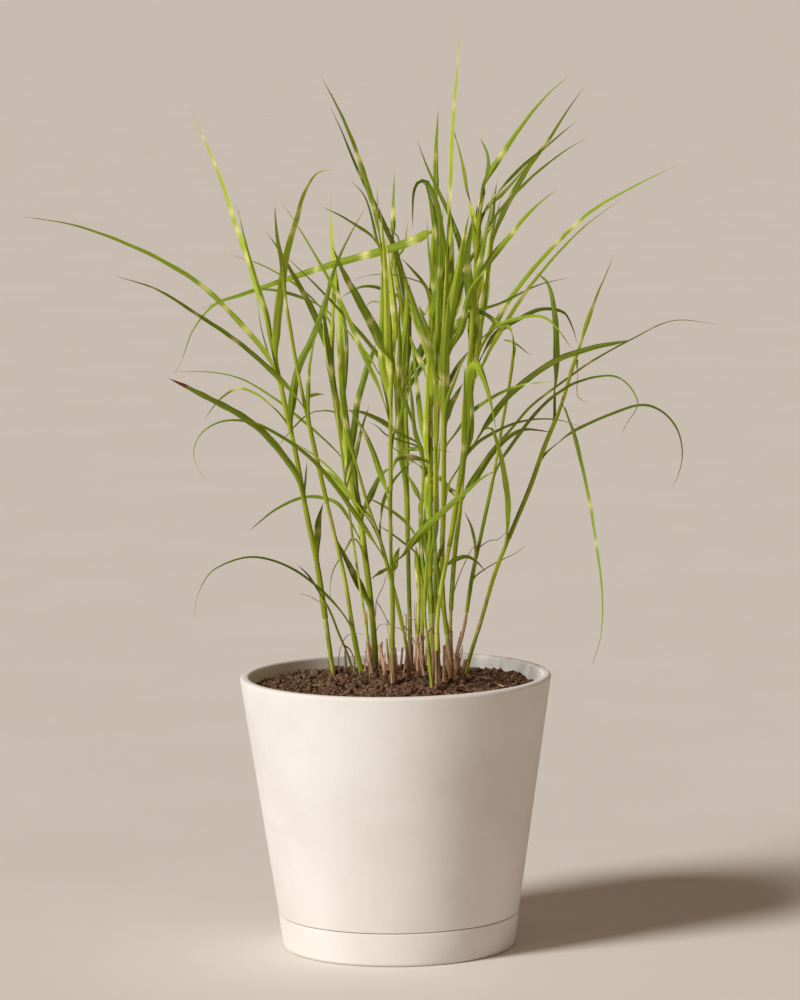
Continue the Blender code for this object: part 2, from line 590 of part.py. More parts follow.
def round_section(centre, ahead, radius):
    """The corners of a stem's section, square to its direction of growth."""
    across = np.cross(ahead, (0.0, -1.0, 0.0))
    across /= np.linalg.norm(across)
    out = np.cross(across, ahead)
    return [centre + radius * (math.cos(a) * across + math.sin(a) * out)
            for a in np.arange(STEM_SIDES) * 2 * math.pi / STEM_SIDES]


def add_blade(bm, line, width, roll):
    """A long folded blade: two halves that rise from the midrib, tapering to the tip."""
    line = by_bend(line)
    ahead, across = section_frames(line)
    lengths = np.concatenate([[0], np.cumsum(np.linalg.norm(np.diff(line, axis=0), axis=1))])
    sections = []
    for k, share in enumerate(lengths / lengths[-1]):
        half = leaf_half_width(width, share)
        turn = math.radians(roll) + math.copysign(LEAF_TWIST, roll) * (share - 0.4)
        out = np.cross(across[k], ahead[k])
        flat = math.cos(turn) * across[k] + math.sin(turn) * out
        face = np.cross(ahead[k], flat)
        thick = 0.5 * min(LEAF_THICKNESS, 0.5 * MM + 0.25 * half)
        lift = 2 * half * LEAF_FOLD
        sections.append([line[k] - flat * half + face * lift, line[k] - face * thick,
                         line[k] + flat * half + face * lift, line[k] + face * thick])
    skin_sections(bm, sections)


def add_stem(bm, name):
    """A stem with a slightly swollen ring where each old leaf joined."""
    line = stem_line(name)
    length = line_length(line)
    stations = set(np.round(np.arange(STEM_DEPTH_IN_SOIL, length, STEM_STATION), 5)) | {0, length}
    for node in np.arange(NODE_SPACING * 0.6, length - 20 * MM, NODE_SPACING):
        stations = {s for s in stations if abs(s - node) > 12 * MM or s in (0, length)}
        stations |= {node - 3 * MM, node, node + 3 * MM}
    stations = sorted(stations)
    lengths = np.concatenate([[0], np.cumsum(np.linalg.norm(np.diff(line, axis=0), axis=1))])
    rows = np.stack([np.interp(stations, lengths, line[:, k]) for k in range(3)], axis=1)
    ahead, _ = section_frames(rows)
    sections = []
    for k, station in enumerate(stations):
        share = station / length
        near = (station - NODE_SPACING * 0.6) / NODE_SPACING
        swollen = abs(near - round(near)) < 1e-3 and round(near) >= 0
        radius = stem_radius(name, share) * (1.22 if swollen else 1.0)
        sections.append(round_section(rows[k], ahead[k], radius))
    skin_sections(bm, sections)


def fuse(target, piece):
    """Join a piece to the solid it grows from, as one closed body."""
    union = target.modifiers.new("fuse", "BOOLEAN")
    union.operation = "UNION"
    union.solver = "EXACT"
    union.object = piece
    piece.hide_render = True
    piece.display_type = "WIRE"


def make_leaf(name, strand, leaf):
    bm = bmesh.new()
    add_blade(bm, np.array(strand.points()), leaf[2], leaf[4])
    return new_object(name, bm, "leaf")


def make_stem(name, strands):
    bm = bmesh.new()
    add_stem(bm, name)
    stem = new_object(name, bm, "stem")
    for number, leaf in enumerate(SMALL_LEAVES):
        if leaf[0] == name:
            twig = f"small_{number:02d}"
            fuse(stem, make_leaf(twig, strands[twig], leaf))
    return stem


def stub_foot(name):
    x, y, height, lean_x, lean_y, _ = STUBS[name]
    ground = np.array([x * MM, y * MM, soil_height(x * MM, y * MM)])
    lean = np.array([lean_x, lean_y, height], float)
    return ground, lean / np.linalg.norm(lean)


def make_stub(name):
    ground, lean = stub_foot(name)
    height, width = STUBS[name][2] * MM, STUBS[name][5] * MM
    bm = bmesh.new()
    skin_sections(bm, [round_section(ground + lean * along, lean, 0.5 * width)
                       for along in (-STEM_DEPTH_IN_SOIL, 0, 0.6 * height, height)])
    return new_object(name, bm, "dry")


def cut_pockets(soil):
    """Sink a pocket in the soil for the foot of each stem and stub."""
    feet = [(*stem_foot(name), stem[3]) for name, stem in STEMS.items()]
    feet += [(*stub_foot(name), stub[5]) for name, stub in STUBS.items()]
    bm = bmesh.new()
    for ground, lean, width in feet:
        radius = 0.5 * width * MM + POCKET_CLEARANCE
        skin_sections(bm, [round_section(ground + lean * along, lean, radius)
                           for along in (-STEM_DEPTH_IN_SOIL - POCKET_CLEARANCE, 20 * MM)])
    cutter = new_object("pockets", bm, "soil")
    cut = soil.modifiers.new("pockets", "BOOLEAN")
    cut.operation = "DIFFERENCE"
    cut.solver = "EXACT"
    cut.object = cutter
    cutter.hide_render = True
    cutter.display_type = "WIRE"


def grow():
    """Every stem and leaf as a strand, eased apart from its neighbours."""
    strands = {name: strand_of_stem(name) for name in STEMS}
    for name, leaf in LEAVES.items():
        strands[name] = strand_of_leaf(name, leaf, False)
    for number, leaf in enumerate(SMALL_LEAVES):
        name = f"small_{number:02d}"
        strands[name] = strand_of_leaf(name, leaf, True)
    ease_apart(list(strands.values()))
    return strands


def main():
    clear_scene()
    make_saucer()
    make_pot()
    cut_pockets(make_soil())
    strands = grow()
    for name in STEMS:
        make_stem(name, strands)
    for name, leaf in LEAVES.items():
        make_leaf(name, strands[name], leaf)
    for name in STUBS:
        make_stub(name)


main()
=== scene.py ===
"""Looks of the potted zebra grass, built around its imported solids.

Metres, +Z up, the front of the plant towards -Y. Every stem and leaf of the frame is replaced by a
finer one on the same line, and thin leaves, dry stubs and crumbs of soil are added.
"""

import json
import math

import bmesh
import bpy
import numpy as np
from mathutils import Matrix, Vector, noise
from mathutils.kdtree import KDTree

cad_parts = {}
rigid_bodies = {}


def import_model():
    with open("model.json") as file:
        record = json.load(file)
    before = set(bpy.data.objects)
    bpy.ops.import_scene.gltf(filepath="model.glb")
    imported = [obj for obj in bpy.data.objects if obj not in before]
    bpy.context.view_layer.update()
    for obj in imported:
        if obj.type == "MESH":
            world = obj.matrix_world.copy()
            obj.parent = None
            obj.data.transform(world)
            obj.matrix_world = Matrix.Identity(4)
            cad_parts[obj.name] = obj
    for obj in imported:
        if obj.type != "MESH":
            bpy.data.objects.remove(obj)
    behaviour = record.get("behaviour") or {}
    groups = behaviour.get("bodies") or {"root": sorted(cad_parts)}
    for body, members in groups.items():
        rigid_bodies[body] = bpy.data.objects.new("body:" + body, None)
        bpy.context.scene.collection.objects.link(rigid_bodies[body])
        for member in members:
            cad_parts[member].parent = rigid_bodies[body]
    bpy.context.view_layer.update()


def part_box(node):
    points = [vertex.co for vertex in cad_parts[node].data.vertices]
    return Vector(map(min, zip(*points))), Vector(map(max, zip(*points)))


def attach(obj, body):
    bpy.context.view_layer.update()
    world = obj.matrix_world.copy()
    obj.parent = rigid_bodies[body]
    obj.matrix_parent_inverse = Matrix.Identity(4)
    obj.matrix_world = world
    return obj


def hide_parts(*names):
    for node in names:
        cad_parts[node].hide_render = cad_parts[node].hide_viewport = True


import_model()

MM = 0.001
FAR = 1.0                           # metres; further than anything on the plant

# The planter, measured on the frame.
POT_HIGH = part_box("pot")[1]
SAUCER_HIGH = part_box("saucer")[1]
POT_RIM_RADIUS = POT_HIGH.x
POT_HEIGHT = POT_HIGH.z
SAUCER_RIM_RADIUS = SAUCER_HIGH.x
SEAM_HEIGHT = SAUCER_HIGH.z
SAUCER_FOOT_RADIUS = SAUCER_RIM_RADIUS - 3.6 * MM
SAUCER_WALL = 5.8 * MM
SAUCER_FLOOR = 6.0 * MM
SEAM_GAP = 0.7 * MM
POT_WALL = 9.5 * MM
POT_FLOOR = 22.0 * MM
POT_FLOOR_RADIUS = 103.0 * MM
DRAIN_RADIUS = 12.0 * MM
SOIL_EDGE_HEIGHT = 259.0 * MM
SOIL_MOUND = 14.0 * MM
SOIL_MOUND_RADIUS = 90.0 * MM

# What the leaf lines need; the same values and steps as in the solids.
STEM_DEPTH_IN_SOIL = 10.0 * MM
NODE_SPACING = 105.0 * MM
LEAF_TIP_WIDTH = 0.7 * MM
LEAF_BASE_SHARE = 0.42
LEAF_WIDEST = 0.24
LEAF_FULLNESS = 1.7
LEAF_TWIST = 0.55
STEM_BEND = 1.2                     # how late a stem turns to the depth of its top
LEAF_BEND = 1.5                     # how late a leaf turns to the depth of its tip
CLEAR_OF_STEM = 1.8 * MM
STRAND_STEP = 9.0 * MM
NEAR_FOOT = 30.0 * MM
SPARE = 1.6 * MM
REACH = 16.0 * MM
EASING_ROUNDS = 60
LARGEST_PUSH = 3.0 * MM
HELD_POINTS = 3
FREE_POINTS = 5
CROSSING_SHARE = 0.8                # of the two half widths, kept free where blades cross
SOFT_PUSH = 0.6                     # the share of a push taken where the other one moves too
SAME_DEPTH = 0.2 * MM
PUSH_SOFTENING = 6
SHIFT_SOFTENING = 2
LEAST_POINTS = 8
LINE_STEPS = 10                     # of a smooth line, from one reading to the next
FOOT_WIDTH_SHARE = 0.6              # of half the foot's width, kept clear of the stem
STEADY_AWAY = 0.4                   # the share of that distance which is kept to the tip
AWAY_FADE = 3
TWIST_SOFTENING = 6

# The places below are readings (across, up) in millimetres on the upright plane through the
# planter's axis, as seen by an eye straight in front. Each is slid along the line of sight to
# its own depth, so that the plant has the same outline from the front at any depth.
EYE = np.array([0.0068, -4.9, 1.021])

# name: (foot x, foot y, depth at the top, width at the foot, width at the top, readings)
STEMS = {
    "stem_01": (-63, 50, 70, 5.6, 4.2, [
        (-65, 296), (-70, 336), (-77, 387), (-87, 440), (-95, 490), (-107, 550), (-117, 600)]),
    "stem_02": (-43, 62, 30, 2.6, 2.0, [
        (-46, 290), (-56, 315), (-66, 341), (-78, 362)]),
    "stem_03": (-34, 40, -20, 5.2, 3.4, [
        (-37, 290), (-42, 320), (-50, 374), (-59, 415), (-72, 475), (-83, 528), (-94, 585),
        (-104, 650)]),
    "stem_04": (-24, 18, 60, 3.2, 2.4, [
        (-27, 304), (-30, 331), (-37, 382), (-43, 429), (-50, 490), (-57, 560)]),
    "stem_05": (-20, 56, 130, 6.0, 5.0, [
        (-21, 310), (-24, 350), (-30, 405), (-36, 455), (-45, 492), (-52, 531), (-59, 580),
        (-57, 640)]),
    "stem_06": (-2, -38, -110, 6.0, 4.0, [
        (-3, 296), (-2, 336), (-3, 405), (-2, 475), (-1, 543), (1, 590), (-3, 650), (-8, 705)]),
    "stem_07": (14, -24, -50, 4.6, 3.6, [
        (12, 292), (6, 330), (-4, 372), (-14, 411), (-24, 440), (-37, 488)]),
    "stem_08": (15, 78, 165, 5.0, 5.0, [
        (15, 305), (14.5, 360), (14, 407), (13, 476), (9, 535), (16, 590), (12, 635), (2, 692)]),
    "stem_09": (20, 36, 40, 4.6, 4.0, [(23, 320), (24.5, 370), (22, 401)]),
    "stem_10": (28, 54, 66, 4.6, 3.2, [
        (27, 314), (28, 336), (27, 390), (27, 430), (31, 480), (22, 524)]),
    "stem_11": (36, -56, -66, 4.0, 3.2, [(34, 284), (32, 308), (30, 335), (32, 381)]),
    "stem_12": (42, -38, -140, 5.2, 4.4, [
        (42, 321), (47, 361), (57, 410), (66, 466), (73, 510), (75, 551), (80, 610), (84, 660),
        (88, 715), (90, 742)]),
    "stem_13": (38, 14, 60, 5.4, 5.0, [
        (36.5, 330), (36, 376), (37, 440), (38, 499), (38, 568), (40, 620), (42, 680),
        (44, 718)]),
    "stem_14": (44, -10, -50, 4.2, 3.2, [
        (41, 342), (41, 400), (42, 470), (44, 540), (48, 610), (51, 668)]),
    "stem_15": (56, -20, -95, 5.2, 4.0, [
        (52, 313), (49, 342), (48, 389), (50, 440), (51, 492), (52, 550), (52, 610), (56, 670),
        (58, 716)]),
    "stem_16": (56, 36, 140, 4.8, 4.0, [
        (55, 313), (60, 388), (66, 436), (72, 492), (78, 550), (87, 600), (93, 645), (99, 700)]),
    "stem_17": (60, 62, 62, 4.6, 3.6, [
        (61, 290), (68, 315), (78, 372), (88, 417), (100, 471), (109, 520), (118, 569),
        (123, 606)]),
    "stem_18": (70, 36, -14, 4.8, 3.6, [
        (75, 292), (86, 326), (101, 375), (118, 417), (136, 459), (151, 500), (168, 541),
        (181, 583), (187, 600)]),
}

# name: (stem, reading of its height there, width, depth of its tip, roll in degrees, readings)
LEAVES = {
    "leaf_01": ("stem_01", 596, 8.5, 160, 38, [
        (-122, 620), (-131, 655), (-141, 690), (-153, 725), (-165, 765), (-178, 800),
        (-195, 840)]),
    "leaf_02": ("stem_01", 584, 10.0, -60, -40, [
        (-114, 600), (-109, 650), (-100, 700), (-92, 725), (-85, 750), (-78, 765), (-70, 775),
        (-55, 779)]),
    "leaf_03": ("stem_01", 568, 8.5, 10, 42, [
        (-124, 595), (-147, 624), (-185, 663), (-224, 689), (-267, 710), (-314, 727),
        (-362, 736)]),
    "leaf_04": ("stem_03", 540, 6.0, -140, -44, [
        (-98, 556), (-117, 578), (-151, 609), (-191, 637), (-232, 663), (-272, 676)]),
    "leaf_05": ("stem_13", 716, 10.0, 215, -38, [
        (19, 706), (-10, 697), (-39, 690), (-68, 682), (-106, 670), (-145, 657), (-174, 647),
        (-196, 622), (-209, 589), (-216, 578)]),
    "leaf_06": ("stem_06", 524, 8.0, -80, 42, [
        (-12, 558), (-27, 592), (-38, 619), (-53, 654), (-70, 686), (-94, 728), (-107, 748)]),
    "leaf_07": ("stem_06", 585, 10.5, -215, -36, [
        (-10, 600), (-15, 617), (-30, 648), (-45, 676), (-57, 703)]),
    "leaf_08": ("stem_01", 518, 9.0, -130, 36, [
        (-99, 548), (-93, 582), (-78, 613), (-66, 645), (-54, 684), (-37, 718), (-23, 741)]),
    "leaf_09": ("stem_10", 522, 7.0, -30, 40, [
        (12, 548), (0, 574), (-20, 602), (-45, 632), (-75, 665), (-95, 685), (-108, 698)]),
    "leaf_10": ("stem_01", 448, 11.5, -100, 36, [
        (-96, 475), (-108, 493), (-128, 517), (-153, 536), (-188, 555), (-222, 574)]),
    "leaf_11": ("stem_05", 388, 8.0, 170, 38, [
        (-33, 407), (-44, 429), (-56, 446), (-72, 452), (-90, 452), (-116, 441), (-145, 419)]),
    "leaf_12": ("stem_05", 480, 6.5, 160, 44, [
        (-53, 495), (-72, 514), (-90, 530), (-117, 552), (-150, 572), (-180, 579), (-216, 580)]),
    "leaf_13": ("stem_03", 322, 6.0, -120, -40, [
        (-63, 349), (-80, 366), (-97, 379), (-120, 390), (-143, 394), (-165, 389), (-183, 379),
        (-192, 366), (-198, 350), (-200, 333)]),
    "leaf_14": ("stem_07", 389, 10.0, -170, -36, [
        (-17, 402), (-35, 431), (-55, 461), (-81, 492), (-108, 513), (-140, 529), (-170, 530),
        (-191, 517), (-198, 497), (-189, 475), (-183, 471)]),
    "leaf_15": ("stem_06", 383, 10.0, -150, 38, [
        (8, 390), (20, 407), (36, 425), (52, 440), (70, 455), (90, 471), (106, 478)]),
    "leaf_16": ("stem_16", 425, 10.0, 180, 36, [
        (66, 440), (82, 470), (98, 494), (114, 510), (130, 518), (146, 517), (160, 514)]),
    "leaf_17": ("stem_16", 446, 5.0, 200, -46, [
        (75, 462), (95, 492), (116, 515), (138, 540), (167, 562), (197, 583), (239, 606),
        (280, 624), (323, 620)]),
    "leaf_18": ("stem_17", 472, 6.5, -175, -42, [
        (105, 482), (121, 505), (141, 531), (161, 550), (188, 565), (225, 568), (244, 543),
        (233, 522), (228, 512)]),
    "leaf_19": ("stem_15", 446, 8.0, 50, -40, [
        (54, 459), (65, 479), (82, 502), (104, 516), (132, 526), (162, 527), (188, 520)]),
    "leaf_20": ("stem_12", 492, 8.5, -50, 40, [
        (80, 502), (93, 521), (112, 548), (137, 570), (163, 587), (198, 599), (240, 606)]),
    "leaf_21": ("stem_08", 548, 7.0, 20, -40, [
        (21, 566), (42, 597), (59, 611), (76, 631), (111, 644), (147, 661), (181, 669)]),
    "leaf_22": ("stem_18", 402, 9.5, -60, 34, [
        (113, 425), (113.5, 445), (110, 475), (104, 503), (97, 520), (88, 515), (80, 500)]),
    "leaf_23": ("stem_18", 490, 6.0, 130, 40, [
        (160, 500), (180, 515), (212, 530), (250, 541), (270, 533), (284, 515), (288.5, 490),
        (283, 467), (277, 456)]),
    "leaf_24": ("stem_18", 541, 7.0, -150, -42, [
        (178, 522), (187, 485), (195, 445), (202, 398), (207, 350), (205, 308), (196, 278)]),
    "leaf_25": ("stem_18", 526, 8.5, 90, 36, [
        (161, 545), (163, 580), (163, 615), (160, 645), (154, 665), (143, 674)]),
    "leaf_26": ("stem_18", 598, 8.0, -70, -38, [
        (190, 610), (199, 634), (207, 655), (215, 673), (222, 691)]),
    "leaf_27": ("stem_16", 596, 8.0, 60, 40, [
        (103, 622), (116, 645), (130, 664), (146, 683), (162, 700), (198, 733), (240, 757),
        (287, 779)]),
    "leaf_28": ("stem_12", 556, 8.5, -210, -40, [
        (90, 580), (100, 600), (115, 625), (133, 652), (148, 671), (170, 696), (195, 720),
        (232, 747)]),
    "leaf_29": ("stem_16", 576, 7.0, 215, 42, [
        (95, 600), (108, 617), (128, 629), (150, 638), (172, 634), (180, 620), (185, 602)]),
    "leaf_30": ("stem_12", 655, 9.0, -195, 38, [
        (94, 678), (105, 694), (118, 710), (133, 728), (150, 744), (168, 757)]),
    "leaf_31": ("stem_16", 694, 11.0, 190, -36, [
        (112, 730), (126, 757), (141, 781), (158, 803), (176, 831), (195, 858)]),
    "leaf_32": ("stem_12", 726, 7.5, -60, -42, [
        (103, 747), (118, 764), (133, 779), (148, 791), (186, 823)]),
    "leaf_33": ("stem_12", 738, 8.0, -230, 36, [
        (94, 760), (103, 777), (122, 806), (140, 830), (158, 850), (182, 870)]),
    "leaf_34": ("stem_12", 596, 7.0, 70, -40, [
        (79, 640), (71, 700), (62, 728), (52, 751), (38, 781), (28, 808)]),
    "leaf_35": ("stem_14", 664, 9.0, -85, 48, [
        (52, 690), (49, 725), (43, 752), (33, 767), (26, 757), (23.5, 735), (23, 718)]),
    "leaf_36": ("stem_08", 586, 8.0, 60, -38, [
        (17, 640), (6, 698), (-3, 720), (-12, 740), (-33, 785), (-45, 815), (-57, 841)]),
    "leaf_37": ("stem_12", 486, 11.0, -215, 34, [
        (72, 520), (74, 550), (77, 578), (83, 585), (91, 572), (98, 548), (104, 514)]),
}

# Small leaves fused to their stem: (stem, height, width, depth of its tip, roll, readings)
SMALL_LEAVES = [
    ("stem_01", 600, 5.0, 0, 40, [(-124, 640), (-133, 670), (-143, 708), (-151, 747)]),
    ("stem_01", 390, 8.0, 20, -38, [(-75, 415), (-74, 428), (-69.5, 448)]),
    ("stem_01", 524, 5.0, 150, 42, [
        (-117, 542), (-134, 556), (-152, 562), (-170, 552), (-187, 531)]),
    ("stem_02", 350, 3.5, -10, -40, [(-85, 374), (-97, 386)]),
    ("stem_03", 528, 5.0, -60, 44, [(-83, 548), (-82, 580), (-73, 625)]),
    ("stem_03", 645, 6.0, -80, -36, [(-107, 690), (-111, 715), (-113, 746)]),
    ("stem_05", 630, 6.5, 165, 38, [(-56, 665), (-58, 722), (-57, 752)]),
    ("stem_05", 634, 3.5, 110, -40, [
        (-71, 644), (-102, 657), (-130, 661), (-172, 648), (-190, 641)]),
    ("stem_05", 625, 3.5, 200, 40, [(-75, 648), (-97, 667), (-128, 685), (-160, 696)]),
    ("stem_05", 580, 8.0, 40, -38, [
        (-66, 612), (-78, 642), (-93, 671), (-112, 704), (-122, 718)]),
    ("stem_05", 430, 8.5, 10, 36, [(-24, 450), (-15, 470), (-7, 479), (2, 481)]),
    ("stem_05", 338, 8.5, -10, -36, [(-36, 367), (-45, 386), (-58, 413)]),
    ("stem_06", 366, 8.0, -16, -36, [(2, 385), (6, 402)]),
    ("stem_06", 381, 4.0, -80, 40, [(-14, 376), (-24, 369)]),
    ("stem_06", 696, 4.5, -170, -40, [(-18, 712), (-31, 722), (-48, 733), (-67, 742)]),
    ("stem_06", 700, 6.5, -200, 38, [
        (-18, 748), (-32, 795), (-46, 831), (-65, 870)]),
    ("stem_07", 411, 4.5, -30, 40, [
        (-22, 425), (-40, 450), (-60, 478), (-80, 496), (-110, 515)]),
    ("stem_07", 412, 6.5, -8, -40, [(-12, 432), (-7, 453), (5, 473), (22, 489)]),
    ("stem_07", 480, 6.0, -120, 38, [(-45, 520), (-50, 550), (-52, 585)]),
    ("stem_08", 499, 6.0, 80, 42, [(25, 500), (38, 500), (58, 496)]),
    ("stem_08", 650, 5.0, 120, -40, [(-15, 662), (-30, 662), (-50, 651)]),
    ("stem_08", 690, 6.0, 230, 36, [(4, 710), (3.5, 740), (6, 778)]),
    ("stem_10", 405, 5.5, 30, 40, [(10, 428), (-12, 444), (-34, 456)]),
    ("stem_10", 430, 7.5, 100, -36, [(27, 448), (20, 465), (13, 478)]),
    ("stem_10", 505, 8.5, 10, 38, [(3, 517), (-12, 528), (-32, 537), (-49, 539)]),
    ("stem_12", 600, 4.5, -190, 40, [
        (92, 610), (106, 621), (127, 629), (145, 631), (158, 626), (180, 597)]),
    ("stem_12", 690, 4.5, -250, -38, [
        (100, 722), (125, 752), (150, 775), (180, 797), (197, 806)]),
    ("stem_12", 732, 6.0, -40, 40, [(93, 755), (98, 780), (97, 792), (90, 809)]),
    ("stem_12", 710, 4.0, -70, -42, [(82, 735), (78, 755), (73, 785), (64, 819)]),
    ("stem_13", 484, 7.5, -20, -38, [(16, 492), (4, 490), (0, 478)]),
    ("stem_13", 590, 7.0, 110, 40, [(33, 612), (27, 622), (17, 648)]),
    ("stem_13", 652, 4.0, 20, 44, [(33, 664), (20, 680), (11, 690)]),
    ("stem_13", 700, 7.0, 100, -36, [(47, 755), (47.5, 790), (50, 838)]),
    ("stem_14", 370, 5.5, 20, 40, [(47, 377), (59, 387), (72, 392), (84, 385), (92, 374)]),
    ("stem_14", 560, 8.0, -100, 38, [(36, 605), (27, 632), (15, 672)]),
    ("stem_15", 505, 7.0, -20, -40, [(57, 536), (65, 552), (71, 565)]),
    ("stem_15", 500, 5.5, -175, 40, [(63, 514), (78, 535), (97, 549), (127, 562), (160, 565)]),
    ("stem_15", 700, 6.0, -60, 36, [(60, 750), (62, 800), (67, 860), (70, 890), (72, 922)]),
    ("stem_16", 451, 5.5, 160, 42, [(48, 467), (35, 478), (24, 489)]),
    ("stem_16", 698, 5.0, 110, -40, [(103, 730), (107, 766)]),
    ("stem_17", 391, 4.5, 30, 40, [(81, 401), (77, 421), (70, 438)]),
    ("stem_17", 600, 6.0, 110, -40, [(121, 615), (105, 626), (90, 636), (78, 634)]),
]

# Dry stubs left by old stems: (x, y, height above the soil, lean across, lean in depth, width)
STUBS = {
    "stub_01": (-10, 8, 30, -6, 4, 5.0),
    "stub_02": (64, -12, 24, 7, -5, 4.4),
}

